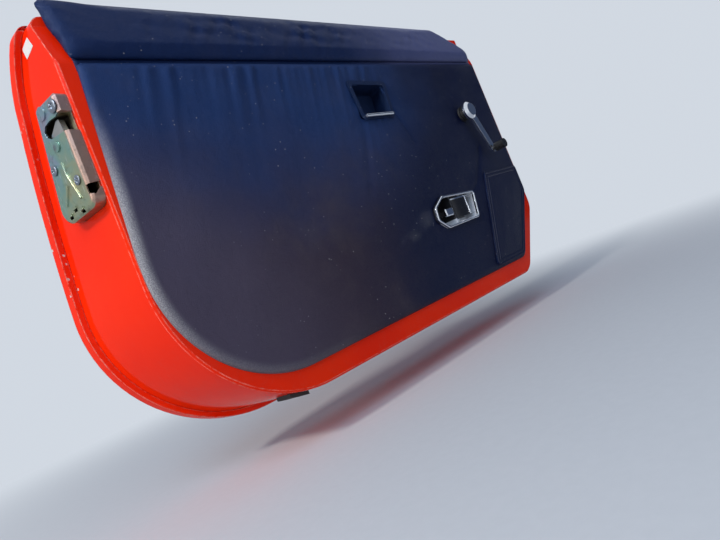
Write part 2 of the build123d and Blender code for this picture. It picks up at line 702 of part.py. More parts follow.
# Latch: drawn with x = -h, y = s and z = v, then set on the slanted shut face
def on_shut_face(shape):
    tilt = math.degrees(math.atan(SHUT_SLANT))
    return Pos(at(0, 0, WAIST_HEIGHT - LATCH_DROP)) * Rot(0, 0, tilt) * shape


def face_plate(corners, radii, heights):
    """Plate with an (s, v) outline between two heights off the shut face."""
    points = [Vector(-heights[0], s, v) for s, v in corners]
    outline = FilletPolyline(*points, radius=radii, close=True)
    return extrude(make_face(outline.edges()), amount=heights[1] - heights[0], dir=(-1, 0, 0))


def face_post(s, v, radius, heights):
    centre = Vector(-0.5 * (heights[0] + heights[1]), s, v)
    return Pos(centre) * Rot(0, 90, 0) * Cylinder(radius, heights[1] - heights[0])


def pressed_rib(s0, v0, s1, v1):
    """Half-round bar along the case's face."""
    length = math.hypot(s1 - s0, v1 - v0)
    lean = math.degrees(math.atan2(s1 - s0, v1 - v0))
    bar = Cylinder(RIB_R, length + RIB_R)
    return Pos(-CASE_DEEP, 0.5 * (s0 + s1), 0.5 * (v0 + v1)) * Rot(-lean, 0, 0) * bar


def lanced_tab(s, v):
    """Small tongue cut free on three sides and lifted."""
    return Pos(-CASE_DEEP, s, v) * Box(2 * TAB_RISE, TAB_LONG, TAB_WIDE)


def latch_case():
    """Deep pressed pan with its mouth, notch, pin, ribs, tabs and raised seats."""
    face = CASE_DEEP
    inside = CASE_DEEP - CASE_SHEET
    pan = face_plate(CASE_CORNERS, CASE_RADII, (CASE_SEAT, face))
    pan = bevelled(pan, Axis.X, -face, CASE_FOLD)
    pan = bevelled(pan, Axis.X, -face, CASE_FOLD / 3)
    hollow = face_plate(grown(CASE_CORNERS, -CASE_SHEET), grown_radii(CASE_RADII, -CASE_SHEET),
                        (-CASE_SEAT, inside))
    pan -= bevelled(hollow, Axis.X, -inside, CASE_SHEET)
    pan += face_post(CLAW_PIVOT_S, CLAW_PIVOT_V, CLAW_PIN_R,
                     (POCKET_SHEET + 2 * SEAT, inside + CASE_SHEET / 2))
    for s, v, radius in LATCH_SEATS:
        pan += face_post(s, v, radius, (inside + CASE_SHEET / 2, face + SEAT_RISE))
    for ends in LATCH_RIBS:
        pan += pressed_rib(*ends) & face_plate(CASE_CORNERS, CASE_RADII, (inside, 2 * face))
    for s, v in LATCH_TABS:
        pan -= Pos(-face, s, v - TAB_WIDE) * Box(4 * CASE_SHEET, TAB_LONG, TAB_WIDE)
        pan += lanced_tab(s, v)
    pan -= face_plate(MOUTH_CORNERS, NO_RADII, (-CASE_SEAT, 2 * face))
    notch = [Vector(-h, -BEYOND, v) for h, v in NOTCH_CORNERS]
    pan -= extrude(make_face(Polyline(*notch, close=True).edges()), amount=BEYOND + NOTCH_DEEP,
                   dir=(0, 1, 0))
    return on_shut_face(pan)


def latch_pocket():
    """Back plate with an upright wall round the mouth, open towards the cabin."""
    plate_low, plate_high = CASE_SEAT, CASE_SEAT + POCKET_SHEET
    clear = CASE_SHEET + SEAT
    room = grown(CASE_CORNERS, -clear)
    room_radii = grown_radii(CASE_RADII, -clear)
    top = CASE_DEEP - CASE_SHEET - SEAT
    wall = face_plate(grown(MOUTH_CORNERS, POCKET_SHEET), NO_RADII, (plate_low, top))
    wall -= face_plate(MOUTH_CORNERS, NO_RADII, (-OVERRUN, 2 * CASE_DEEP))
    wall -= face_plate(grown(CLAW_CORNERS, CLAW_ROOM), grown_radii(CLAW_RADII, CLAW_ROOM),
                       (CLAW_LOW - CLAW_ROOM, CLAW_HIGH + CLAW_ROOM))
    pocket = wall & face_plate(room, room_radii, (plate_low, top))
    return on_shut_face(pocket + face_plate(room, room_radii, (plate_low, plate_high)))


def latch_claw():
    """Hooked claw on its pin, its point standing in the mouth."""
    claw = face_plate(CLAW_CORNERS, CLAW_RADII, (CLAW_LOW, CLAW_HIGH))
    claw += face_post(CLAW_PIVOT_S, CLAW_PIVOT_V, CLAW_EYE_R, (CLAW_LOW, CLAW_HIGH))
    claw -= face_post(CLAW_PIVOT_S, CLAW_PIVOT_V, CLAW_PIN_R + SEAT, (0, CASE_DEEP))
    return on_shut_face(claw)


def edge_rubber():
    """Buffer on the bottom sweep, between the card and the hem."""
    room = block((RUBBER_START, RUBBER_END), (RUBBER_OUT_LOW, RUBBER_OUT_HIGH),
                 (-2 * RUBBER_THICK, RUBBER_TALL))
    return (plug(-RUBBER_THICK) & room) - plug(-SEAT / 2)


def up_flank(share):
    """Height on the flank, a share of the way from the belly to the shoulder."""
    return BELLY_UP + share * (SHOULDER_UP - BELLY_UP)


def outer_handle():
    """Bowed bar on two feet, all one casting."""
    up = up_flank(PULL_BAR_SHARE)
    low = up - PULL_BAR_TALL / 2
    rear, front = PULL_BAR_REAR, PULL_BAR_REAR + PULL_BAR_LONG

    def arc(inset, out):
        return ThreePointArc(at(rear + inset, out, low), at(0.5 * (rear + front), out + PULL_BAR_BOW, low),
                             at(front - inset, out, low))

    outer, inner = arc(0, PULL_BAR_OUT), arc(0, PULL_BAR_OUT - PULL_BAR_THICK)
    edges = [outer, Line(outer @ 1, inner @ 1), inner, Line(inner @ 0, outer @ 0)]
    bar = extrude(make_face(edges), amount=PULL_BAR_TALL, dir=(0, 0, 1))
    for edge in (low, low + PULL_BAR_TALL):
        bar = bevelled(bar, Axis.Z, Z_BOTTOM + edge, PULL_EDGE)
    for foot in (rear, front - PULL_FOOT):
        points = [(foot, low), (foot + PULL_FOOT, low), (foot + PULL_FOOT, low + PULL_BAR_TALL),
                  (foot, low + PULL_BAR_TALL)]
        bar += side_plate(points, [PULL_EDGE] * 4, (PULL_FOOT_IN, PULL_BAR_OUT - PULL_EDGE))
    bar -= spindle(rear + BUTTON_IN, up, BUTTON_R + SEAT, (BUTTON_OUT - BUTTON_DEEP, BUTTON_OUT + OVERRUN))
    return bar - inboard(-SEAT)


def handle_button():
    """Push button in the handle's rear end."""
    up = up_flank(PULL_BAR_SHARE)
    return spindle(PULL_BAR_REAR + BUTTON_IN, up, BUTTON_R,
                   (BUTTON_OUT - BUTTON_DEEP + SEAT, BUTTON_OUT + BUTTON_STAND))


def lock_barrel():
    """Key lock below the handle's button."""
    along, up = PULL_BAR_REAR + BUTTON_IN, up_flank(BARREL_SHARE)
    barrel = spindle(along, up, BARREL_R, (BARREL_IN, BARREL_OUT))
    barrel -= block((along - KEYWAY / 2, along + KEYWAY / 2),
                    (BARREL_OUT - KEYWAY_DEEP, BARREL_OUT + OVERRUN),
                    (up - KEYWAY_LONG / 2, up + KEYWAY_LONG / 2))
    return barrel - inboard(-SEAT)


def window_glass():
    top = WAIST_HEIGHT + GLASS_RISE
    points = [(GLASS_REAR, GLASS_BOTTOM), (GLASS_FRONT, GLASS_BOTTOM), (GLASS_FRONT, top), (GLASS_REAR, top)]
    radii = [GLASS_LOW_R, GLASS_LOW_R, GLASS_TOP_R, GLASS_TOP_R]
    return side_plate(points, radii, (GLASS_OUT - GLASS_THICK / 2, GLASS_OUT + GLASS_THICK / 2))


def guide_run(edge, side):
    """Channel that one end of the glass slides in; side 1 is the rear end's."""
    low, high = GLASS_BOTTOM - RUN_BELOW, WAIST_HEIGHT - RUN_DROP
    wide = (edge - RUN_WIDE / 2, edge + RUN_WIDE / 2)
    run = block(wide, (GLASS_OUT - RUN_DEEP / 2, GLASS_OUT + RUN_DEEP / 2), (low, high))
    for foot in (GLASS_BOTTOM + RUN_FOOT_LOW, GLASS_BOTTOM + RUN_FOOT_HIGH):
        run += block(wide, (WALL + SEAT, GLASS_OUT - RUN_DEEP / 2), (foot, foot + RUN_FOOT))
    room = GLASS_THICK / 2 + SEAT
    reach = sorted((edge - side * SEAT, edge + side * BEYOND))
    return run - block(reach, (GLASS_OUT - room, GLASS_OUT + room), (GLASS_BOTTOM - SEAT, high + OVERRUN))


def wiper(outs):
    """Strip along the glass, thinning to a lip that leans towards it."""
    root, tip = outs
    away = math.copysign(WIPER_TIP, root - tip)
    low, high = WAIST_HEIGHT - WIPER_DROP, WAIST_HEIGHT + WIPER_RISE
    corners = [(root, low), (tip, low), (tip, low + WIPER_ROOT), (tip + away, low + 2 * WIPER_ROOT),
               (tip, high), (tip + away, high), (root, low + 2 * WIPER_ROOT)]
    edges = Polyline(*[at(WIPER_REAR, out, up) for out, up in corners], close=True).edges()
    return section_bar(edges, (WIPER_REAR, DOOR_LENGTH - WIPER_BACK))


# Hinges
def leaf(side):
    """One hinge half about the pin line at the origin; side -1 is the door's."""
    plate_near_pin = -LEAF_CENTRE + LEAF_WIDTH / 2
    half = LEAF_HEIGHT / 2
    near = side * (PIN_GAP - LEAF_THICK)
    far = side * PIN_GAP
    plate = Pos(0.5 * (near + far), -LEAF_CENTRE, 0) * Box(LEAF_THICK, LEAF_WIDTH, LEAF_HEIGHT)
    plate = chamfer(plate.edges().filter_by(Axis.X), LEAF_CORNER)
    arm_points = [
        (far, plate_near_pin - ARM_FOOT),
        (near, plate_near_pin - ARM_FOOT),
        (-side * ARM_LEAN_X, -ARM_LEAN_Y),
        (side * ARM_LEAN_X, ARM_LEAN_Y),
        (side * ARM_NECK_X, -ARM_NECK_Y),
        (far, -ARM_BACK),
    ]
    arm_face = make_face(Polyline(*[Vector(x, y, -half) for x, y in arm_points], close=True).edges())
    barrel = extrude(arm_face, amount=LEAF_HEIGHT, dir=(0, 0, 1)) + Cylinder(KNUCKLE_R, LEAF_HEIGHT)
    gap = half - KNUCKLE_HEIGHT
    if side < 0:
        barrel -= Cylinder(KNUCKLE_R + KNUCKLE_ROOM, 2 * gap)
    else:
        barrel &= Cylinder(BEYOND, 2 * (gap - KNUCKLE_GAP))
    return (plate + barrel) - Cylinder(PIN_R + PIN_FIT, 2 * LEAF_HEIGHT)


def bolt_holes(shape):
    for quarter in range(4):
        a = math.radians(45 + 90 * quarter)
        y = -LEAF_CENTRE + LEAF_BOLT_CIRCLE / 2 * math.cos(a)
        z = LEAF_BOLT_CIRCLE / 2 * math.sin(a)
        shape -= Pos(PIN_GAP, y, z) * Rot(0, 90, 0) * Cylinder(LEAF_HOLE_R, 3 * LEAF_THICK)
    return shape


def hinge_pin():
    length = LEAF_HEIGHT + 2 * SEAT
    pin = Cylinder(PIN_R, length + 2 * PIN_TAIL)
    head = Pos(0, 0, length / 2 + PIN_HEAD / 2) * Cylinder(PIN_HEAD_R, PIN_HEAD)
    return pin + head


def on_pin(shape, up, angle):
    return Pos(PIN_X, PIN_Y, up) * Rot(0, 0, angle) * shape


# Check strap: places in plan, seen from the pin line
strap_swing_r = math.hypot(PIN_GAP, STRAP_INBOARD)
strap_post_in = math.sqrt(strap_swing_r**2 - STRAP_POST_AHEAD**2)
strap_x, strap_y = turned(STRAP_POST_AHEAD, -strap_post_in, OPEN_ANGLE)
strap_heading = math.degrees(math.atan2(-STRAP_INBOARD - strap_y, -PIN_GAP - strap_x))


def check_strap():
    bar = Pos(STRAP_LENGTH / 2, 0, 0) * Box(STRAP_LENGTH, STRAP_THICK, STRAP_TALL)
    eye = Cylinder(STRAP_EYE_R, STRAP_TALL)
    stop = Pos(STRAP_LENGTH, 0, 0) * Box(STRAP_STOP, STRAP_STOP, STRAP_TALL)
    strap = (bar + eye + stop) - Cylinder(STRAP_PIN_R + PIN_FIT, 2 * STRAP_TALL)
    return Pos(PIN_X + strap_x, PIN_Y + strap_y, STRAP_UP) * Rot(0, 0, strap_heading) * strap


def check_bracket():
    """Clevis on the post that carries the strap's eye."""
    gap = STRAP_TALL / 2 + KNUCKLE_GAP
    reach = PIN_GAP - CLEVIS_BASE / 2 - STRAP_POST_AHEAD
    base = Pos(PIN_GAP - CLEVIS_BASE / 2, -strap_post_in, 0) * Box(CLEVIS_BASE, CLEVIS_BASE_WIDE,
                                                                   CLEVIS_BASE_TALL)
    for side in (-1, 1):
        z = side * (gap + CLEVIS_EAR / 2)
        base += Pos(STRAP_POST_AHEAD + reach / 2, -strap_post_in, z) * Box(reach, CLEVIS_WIDE, CLEVIS_EAR)
        base += Pos(STRAP_POST_AHEAD, -strap_post_in, z) * Cylinder(CLEVIS_WIDE / 2, CLEVIS_EAR)
        hole = Pos(PIN_GAP, -strap_post_in, side * CLEVIS_HOLE_SPACING / 2) * Rot(0, 90, 0)
        base -= hole * Cylinder(CLEVIS_HOLE_R, 4 * CLEVIS_BASE)
    pin = Cylinder(STRAP_PIN_R, 2 * (gap + CLEVIS_EAR + STRAP_PIN_END))
    return on_pin(base + Pos(STRAP_POST_AHEAD, -strap_post_in, 0) * pin, STRAP_UP, OPEN_ANGLE)


def check_guide():
    """Plate on the front shut face with the strap's slot."""
    half = GUIDE_SIZE / 2
    low, high = STRAP_DOOR_UP - GUIDE_HEIGHT / 2, STRAP_DOOR_UP + GUIDE_HEIGHT / 2
    face = DOOR_LENGTH + GUIDE_SEAT
    plate = block((face, DOOR_LENGTH + GUIDE_THICK), (STRAP_OUT - half, STRAP_OUT + half), (low, high))
    plate = fillet(plate.edges().filter_by(Axis.X), GUIDE_CORNER)
    return plate - block((face - GUIDE_THICK, face + 2 * GUIDE_THICK),
                         (STRAP_OUT - GUIDE_SLOT / 2, STRAP_OUT + GUIDE_SLOT / 2),
                         (STRAP_DOOR_UP - GUIDE_TALL / 2, STRAP_DOOR_UP + GUIDE_TALL / 2))


os.makedirs("parts", exist_ok=True)

pieces = {
    "outer_skin": outer_skin(),
    "inner_shell": inner_shell(),
    "door_card": door_card(),
    "top_roll": top_roll(),
    "front_patch": front_patch(),
    "pull_cup": pull_cup(),
    "pull_lip": pull_lip(),
    "handle_recess": handle_recess(),
    "handle_bezel": handle_bezel(),
    "handle_lever": handle_lever(),
    "lock_tab": lock_tab(),
    "crank_boss": crank_boss(),
    "crank_arm": crank_arm(),
    "crank_knob": crank_knob(),
    "latch_case": latch_case(),
    "latch_pocket": latch_pocket(),
    "latch_claw": latch_claw(),
    "edge_rubber": edge_rubber(),
    "outer_handle": outer_handle(),
    "handle_button": handle_button(),
    "lock_barrel": lock_barrel(),
    "window_glass": window_glass(),
    "rear_run": guide_run(GLASS_REAR, 1),
    "front_run": guide_run(GLASS_FRONT, -1),
    "inner_wiper": wiper((INNER_TOP_OUT + WALL + SEAT, GLASS_OUT - GLASS_THICK / 2 - SEAT)),
    "outer_wiper": wiper((WAIST_OUT - SKIN - SEAT, GLASS_OUT + GLASS_THICK / 2 + SEAT)),
    "check_strap": check_strap(),
    "check_bracket": check_bracket(),
    "check_guide": check_guide(),
}
for name, up in (("lower", 0.0), ("upper", HINGE_SPACING)):
    pieces[f"{name}_door_leaf"] = on_pin(leaf(-1), up, 0)
    pieces[f"{name}_post_leaf"] = on_pin(bolt_holes(leaf(1)), up, OPEN_ANGLE)
    pieces[f"{name}_hinge_pin"] = on_pin(hinge_pin(), up, 0)

for name, shape in pieces.items():
    save(shape, name)
print(f"rear edge x {X_REAR:.2f}, inner panel y {Y_IN:.2f}, bottom z {Z_BOTTOM:.2f}")
print(f"pin line x {PIN_X:.3f} y {PIN_Y:.3f}; strap pivot {PIN_X + strap_x:.3f} {PIN_Y + strap_y:.3f}")
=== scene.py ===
# %% [markdown]
# # A roadster door, dressed in Blender
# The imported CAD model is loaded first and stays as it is: metal, glass and plastic
# keep their solids and get finishes, while everything soft (the padded roll, the
# vinyl-covered card and its stitched patch) is made new and stands in for its solid.

# %% Load the frame
import math

import bmesh
import bpy
import numpy as np
from mathutils import Matrix, Vector


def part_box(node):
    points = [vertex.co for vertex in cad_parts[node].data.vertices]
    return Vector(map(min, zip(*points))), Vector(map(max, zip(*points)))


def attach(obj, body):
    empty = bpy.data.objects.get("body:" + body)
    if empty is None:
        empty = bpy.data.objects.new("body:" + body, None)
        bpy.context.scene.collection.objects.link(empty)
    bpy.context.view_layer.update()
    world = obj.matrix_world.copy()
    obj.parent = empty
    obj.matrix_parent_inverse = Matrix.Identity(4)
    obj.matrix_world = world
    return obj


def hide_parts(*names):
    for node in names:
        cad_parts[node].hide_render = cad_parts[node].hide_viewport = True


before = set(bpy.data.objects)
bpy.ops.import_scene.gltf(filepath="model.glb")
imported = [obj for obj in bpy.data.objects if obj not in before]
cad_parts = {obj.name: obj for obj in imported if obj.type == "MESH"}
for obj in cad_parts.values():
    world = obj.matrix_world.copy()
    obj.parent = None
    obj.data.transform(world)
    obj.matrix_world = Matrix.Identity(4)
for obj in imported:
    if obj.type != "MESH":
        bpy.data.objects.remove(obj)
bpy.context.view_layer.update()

# %% [markdown]
# ## Places in the door
# Every place is given as along (from the rear shut edge), out (from the inner panel
# towards the skin) and up (from the bottom edge). The zero points are read from the
# solids' boxes, so that the dressed pieces follow the CAD wherever it lies.

# %% Zero points and the planes that carry things
MM = 0.001
SEAT = 0.3 * MM                       # the CAD's clearance between seated pieces
SHUT_SLANT = 0.2                      # the rear shut face leans this much rearward
STEEL_BEHIND, STEEL_AHEAD = 3 * MM, 10 * MM  # steel that shows at the card's ends
card_low, card_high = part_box("door_card")
shell_low, shell_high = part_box("inner_shell")
REAR = card_low.x - STEEL_BEHIND
FRONT = card_high.x + STEEL_AHEAD
INNER = card_high.y + SEAT
BOTTOM = shell_low.z
LENGTH = FRONT - REAR
WAIST = shell_high.z - BOTTOM


def points_at(x, y, z):
    """Points from three arrays, each spread to the shape of all three together."""
    return np.stack(np.broadcast_arrays(x, y, z), axis=-1)


def panel_plane(along, up, proud):
    """Points a height proud of the inner panel, towards the cabin."""
    return points_at(REAR + along, INNER - proud, BOTTOM + up)


def shut_plane(side, up, proud):
    """Points a height proud of the slanted rear shut face, side measured along it."""
    tilt = math.atan(SHUT_SLANT)
    x = REAR - proud * math.cos(tilt) - side * math.sin(tilt)
    y = INNER - proud * math.sin(tilt) + side * math.cos(tilt)
    return points_at(x, y, BOTTOM + up)


def front_plane(out, up, proud):
    """Points a height proud of the front shut face, towards the hinges."""
    return points_at(FRONT + proud, INNER + out, BOTTOM + up)


print(f"door {LENGTH * 1000:.0f} mm long, waist {WAIST * 1000:.0f} mm up")

# %% [markdown]
# ## Surfaces from arrays
# A made piece is a grid of points, worked out as whole arrays: each row is a ring
# round the piece, and the rows follow one another across or along it. The index
# arithmetic joins each point to its neighbours, and a ring's last point to its first.
# A tube of rings gets a flat face over each end, so that every piece is closed.

# %% Grids into meshes


def ring_faces(rows, count):
    """Corners of the cells between rings: point (i, j) has the number i * count + j."""
    start = count * np.arange(rows - 1)[:, None]
    j = np.arange(count)[None]
    j_next = (j + 1) % count
    corners = (start + j, start + j_next, start + count + j_next, start + count + j)
    return np.stack(corners, axis=-1).reshape(-1, 4)


def tube_faces(rows, count):
    """Ring faces, with one flat face over the first ring and one over the last."""
    ring = np.arange(count)[None]
    return [ring_faces(rows, count), ring[:, ::-1], (rows - 1) * count + ring]


def shade_smooth(mesh):
    """Lets light flow over all faces of a mesh as over one surface."""
    mesh.polygons.foreach_set("use_smooth", np.ones(len(mesh.polygons), bool))


def make_piece(name, points, faces):
    """Closed mesh object at the origin from points (n x 3) and a list of face arrays."""
    mesh = bpy.data.meshes.new(name)
    listed = [face for block in faces for face in block.tolist()]
    mesh.from_pydata(points.reshape(-1, 3).tolist(), [], listed)
    work = bmesh.new()
    work.from_mesh(mesh)
    bmesh.ops.remove_doubles(work, verts=work.verts, dist=1e-6)
    bmesh.ops.recalc_face_normals(work, faces=work.faces)
    work.to_mesh(mesh)
    work.free()
    shade_smooth(mesh)
    piece = bpy.data.objects.new(name, mesh)
    bpy.context.collection.objects.link(piece)
    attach(piece, "door")
    return piece


def read_all(items, field):
    """A field of three numbers, such as a vertex's place, of all items as n x 3."""
    flat = np.empty(len(items) * 3)
    items.foreach_get(field, flat)
    return flat.reshape(-1, 3)


def tell(piece):
    """Prints how many faces a piece has, and its size."""
    size = [round(1000 * side, 1) for side in piece.dimensions]
    print(f"{piece.name}: {len(piece.data.polygons)} faces, {size} mm")


# %% [markdown]
# Outlines are polygons whose corners are arcs, measured off into even steps. The
# distance from a point to an outline drives most of the shaping, because vinyl rolls
# over at an edge and is pulled down along a seam.

# %% Outlines and distances
ARC_POINTS = 24                       # on each arc, before all are spaced evenly
BLOCK = 4000                          # points measured at once, so that arrays stay small
WAVE_GAIN = 1.6                       # a mean of several sines seldom gets near 1


def even_steps(path, count):
    """Points at equal distances along a path, its closing point left out."""
    run = np.concatenate([[0], np.cumsum(np.linalg.norm(np.diff(path, axis=0), axis=1))])
    wanted = np.linspace(0, run[-1], count, endpoint=False)
    return np.stack([np.interp(wanted, run, path[:, k]) for k in range(path.shape[1])], axis=-1)


def rounded_outline(corners, radii, count):
    """Evenly spaced points round a polygon (millimetres in, metres out) with arc corners.

    An arc of radius r starts r * tan(turn / 2) before its corner, where turn is the
    change of heading there, and its points are the start turned about the centre.
    """
    corner = np.array(corners, float) * MM
    radius = np.array(radii, float)[:, None] * MM
    before = corner - np.roll(corner, 1, axis=0)
    before /= np.linalg.norm(before, axis=1)[:, None]
    after = np.roll(before, -1, axis=0)
    cross = before[:, 0] * after[:, 1] - before[:, 1] * after[:, 0]
    turn = np.arctan2(cross, (before * after).sum(axis=1))[:, None]
    start = corner - before * radius * np.tan(np.abs(turn) / 2)
    normal = np.stack([-before[:, 1], before[:, 0]], axis=1) * np.sign(turn)
    centre = start + normal * radius
    spoke = start - centre
    angle = turn * np.linspace(0, 1, ARC_POINTS)[None, :]
    x = spoke[:, 0:1] * np.cos(angle) - spoke[:, 1:2] * np.sin(angle) + centre[:, 0:1]
    y = spoke[:, 0:1] * np.sin(angle) + spoke[:, 1:2] * np.cos(angle) + centre[:, 1:2]
    path = np.stack([x, y], axis=-1).reshape(-1, 2)
    return even_steps(np.vstack([path, path[:1]]), count)


def edge_distance(u, v, outline):
    """Least distance from each point (u, v) to the outline's points, in blocks."""
    flat = np.stack([np.ravel(u), np.ravel(v)], axis=-1)
    least = []
    for block in np.array_split(flat, max(1, len(flat) // BLOCK)):
        squared = ((block[:, None, :] - outline[None]) ** 2).sum(axis=-1)
        least.append(np.sqrt(squared.min(axis=1)))
    return np.concatenate(least).reshape(np.shape(u))


def smooth_step(value, low, high):
    """0 below low, 1 above high, and 3t^2 - 2t^3 between."""
    t = np.clip((value - low) / (high - low), 0, 1)
    return t * t * (3 - 2 * t)


def waves(u, seed, shortest, longest, terms=7):
    """Mean of sines with seeded wavelengths and phases, times a gain: about -1 to 1."""
    draw = np.random.default_rng(seed)
    lengths = draw.uniform(shortest, longest, terms)[:, None]
    phases = draw.uniform(0, 2 * np.pi, terms)[:, None]
    flat = np.sin(2 * np.pi * np.ravel(u)[None] / lengths + phases).mean(axis=0)
    return WAVE_GAIN * flat.reshape(np.shape(u))


def crease(u, v, path, width):
    """Smooth valley along a path of corners: exp(-(distance / width)^2)."""
    way = np.array(path) * MM
    best = np.full(np.shape(u), np.inf)
    for (ua, va), (ub, vb) in zip(way[:-1], way[1:]):
        share = ((u - ua) * (ub - ua) + (v - va) * (vb - va)) / ((ub - ua) ** 2 + (vb - va) ** 2)
        share = np.clip(share, 0, 1)
        best = np.minimum(best, np.hypot(u - ua - share * (ub - ua), v - va - share * (vb - va)))
    return np.exp(-((best / (width * MM)) ** 2))


# %% [markdown]
# ## A covered board
# The card, its patch and even the paper label are the same kind of thing: a sheet
# with a curved outline, flat at the back and shaped in front. Points run outward from
# the middle to the outline in rings, closer together near the edge, where the cover
# rolls round. One point closes the front and one the back.

# %% One function for every covered board
BACK_RINGS = (0.75, 0.5, 0.25)        # the flat back's rings, as shares of the outline


def covered_board(name, outline, plane, height, rings, back=SEAT):
    """Closed board: front = plane(u, v, height(u, v, edge distance)), back flat.

    A front point is middle + t * (outline - middle), where t = 1 - (1 - s)^2 and s is
    even, so that the rings crowd towards the edge. The outline belongs to both sides.
    """
    middle = outline.mean(axis=0)
    s = np.linspace(0, 1, rings + 1)[1:]
    spread = middle + (1 - (1 - s) ** 2)[:, None, None] * (outline - middle)[None]
    u, v = spread[..., 0], spread[..., 1]
    edge = edge_distance(u, v, outline)
    edge[-1] = 0
    front = plane(u, v, height(u, v, edge))
    pole = plane(middle[:1], middle[1:], height(middle[:1], middle[1:], edge[:1, 0]))
    inner = middle + np.array(BACK_RINGS)[:, None, None] * (outline - middle)[None]
    rear = plane(inner[..., 0], inner[..., 1], np.full(inner.shape[:2], back))
    rear_pole = plane(middle[:1], middle[1:], np.array([back]))
    points = np.vstack([front.reshape(-1, 3), rear.reshape(-1, 3), pole, rear_pole])
    count, rows = len(outline), rings + len(inner)
    ring = np.arange(count)
    next_ring = np.roll(ring, -1)
    last = (rows - 1) * count
    cap = np.stack([np.full(count, rows * count), next_ring, ring], axis=-1)
    rear_cap = np.stack([np.full(count, rows * count + 1), last + ring, last + next_ring], axis=-1)
    return make_piece(name, points, [ring_faces(rows, count), cap, rear_cap])


def mark_edge(piece, outline):
    """Stores each point's distance to the outline, for the dust in its material."""
    co = read_all(piece.data.vertices, "co")
    distance = edge_distance(co[:, 0] - REAR, co[:, 2] - BOTTOM, outline)
    piece.data.attributes.new("edge", "FLOAT", "POINT").data.foreach_set("value", distance)


# %% [markdown]
# ## The door card
# The real card is a board with thin foam, covered in grained black vinyl that is
# pulled round the edge and stapled behind. It could be simulated as cloth, but the
# foam is thin and the folds that show are few, so they are written as formulas: a
# rolled edge, fan-shaped pulls below the top edge, dimples where the cover is drawn in
# round the recess, the handle and the crank, and three long soft creases.

# %% Card: its outline and its relief
CARD_THICK = card_high.y - card_low.y
CARD_TOP = 455 * MM
EDGE_ROLL = 13 * MM                   # how far in the cover's edge begins to roll round
FAN_DEPTH, FAN_FADE = 2.8 * MM, 48 * MM  # folds below the top edge, and where they end
RIPPLE_DEPTH = 1.1 * MM
DIMPLE_DEPTH, PUCKER_DEPTH = 1.5 * MM, 0.8 * MM
LIFT_CAP = 1.5 * MM
RECESS_MIDDLE = (478 * MM, 386 * MM)
# Corners are along and up, and each has its radius, in millimetres
card_corners = [(3, 31), (750, 31), (845, 160), (845, 455), (20, 455), (3, 222)]
card_radii = [168, 24, 40, 4, 6, 200]
# Path, width and depth of each long crease
card_creases = [
    ([(439, 350), (420, 300), (391, 235)], 8, 1.5),
    ([(524, 366), (530, 348), (539, 325), (545, 300)], 4, 1.8),
    ([(738, 272), (711, 235), (692, 209), (675, 196), (662, 191)], 5, 1.6),
]
recess_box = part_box("pull_cup")
drawn_in = [(recess_box, 16 * MM), (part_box("handle_bezel"), 14 * MM), (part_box("crank_boss"), 12 * MM)]


def pulled_in(u, v, box, reach):
    """1 inside a box seen from the cabin, and exp(-distance / reach) outside it."""
    low, high = box
    du = np.maximum(np.maximum(low.x - REAR - u, u - high.x + REAR), 0)
    dv = np.maximum(np.maximum(low.z - BOTTOM - v, v - high.z + BOTTOM), 0)
    return np.exp(-np.hypot(du, dv) / reach)


def card_height(u, v, edge):
    """Cover's height over the panel: a rolled edge, and the folds on top.

    The edge falls as the square root of 1 - (1 - distance / roll)^2.4, a fat quarter.
    """
    inside = np.clip(1 - edge / EDGE_ROLL, 0, 1)
    form = SEAT + CARD_THICK * np.sqrt(1 - inside**2.4)
    below_top = CARD_TOP - v
    fan = waves(u + 0.25 * below_top, 4, 14 * MM, 34 * MM) * np.exp(-below_top / FAN_FADE)
    fan *= smooth_step(u, 40 * MM, 110 * MM) * (1 - smooth_step(u, 420 * MM, 560 * MM))
    ripple = waves(0.8 * u + 0.6 * v, 9, 60 * MM, 150 * MM)
    ripple = ripple * waves(v - 0.3 * u, 12, 70 * MM, 170 * MM)
    lift = FAN_DEPTH * fan + RIPPLE_DEPTH * ripple
    for path, width, depth in card_creases:
        lift -= depth * MM * crease(u, v, path, width)
    for box, reach in drawn_in:
        lift -= DIMPLE_DEPTH * pulled_in(u, v, box, reach)
    round_recess = np.arctan2(v - RECESS_MIDDLE[1], u - RECESS_MIDDLE[0])
    pucker = waves(round_recess, 21, 0.35, 0.8)
    lift += PUCKER_DEPTH * pucker * pulled_in(u, v, recess_box, 18 * MM)
    return form + np.minimum(lift * smooth_step(edge, MM, 14 * MM), LIFT_CAP)


card_outline = rounded_outline(card_corners, card_radii, 560)
card_cover = covered_board("card_cover", card_outline, panel_plane, card_height, 110)
tell(card_cover)

# %% [markdown]
# The cover has openings for the pull recess, the handle's pan and the crank's shaft.
# They could be left out of the grid, but its rings don't follow them, so they are cut
# with a Boolean against plain prisms, which lie under the flanges that hide the cut
# edge. The prisms are deleted again.

# %% Card: the openings


def prism(name, loop, low, high):
    """Closed straight-sided block over an outline, between two heights off the panel."""
    ends = [panel_plane(loop[:, 0], loop[:, 1], height) for height in (low, high)]
    return make_piece(name, np.vstack(ends), tube_faces(2, len(loop)))


def frozen(piece):
    """Replaces a piece's mesh by what its modifiers make of it."""
    seen = piece.evaluated_get(bpy.context.evaluated_depsgraph_get())
    mesh = bpy.data.meshes.new_from_object(seen)
    piece.modifiers.clear()
    piece.data = mesh


def cut(piece, cutter):
    """Boolean difference, applied, and the cutter deleted."""
    opening = piece.modifiers.new("opening", "BOOLEAN")
    opening.operation, opening.solver, opening.object = "DIFFERENCE", "EXACT", cutter
    frozen(piece)
    bpy.data.objects.remove(cutter)


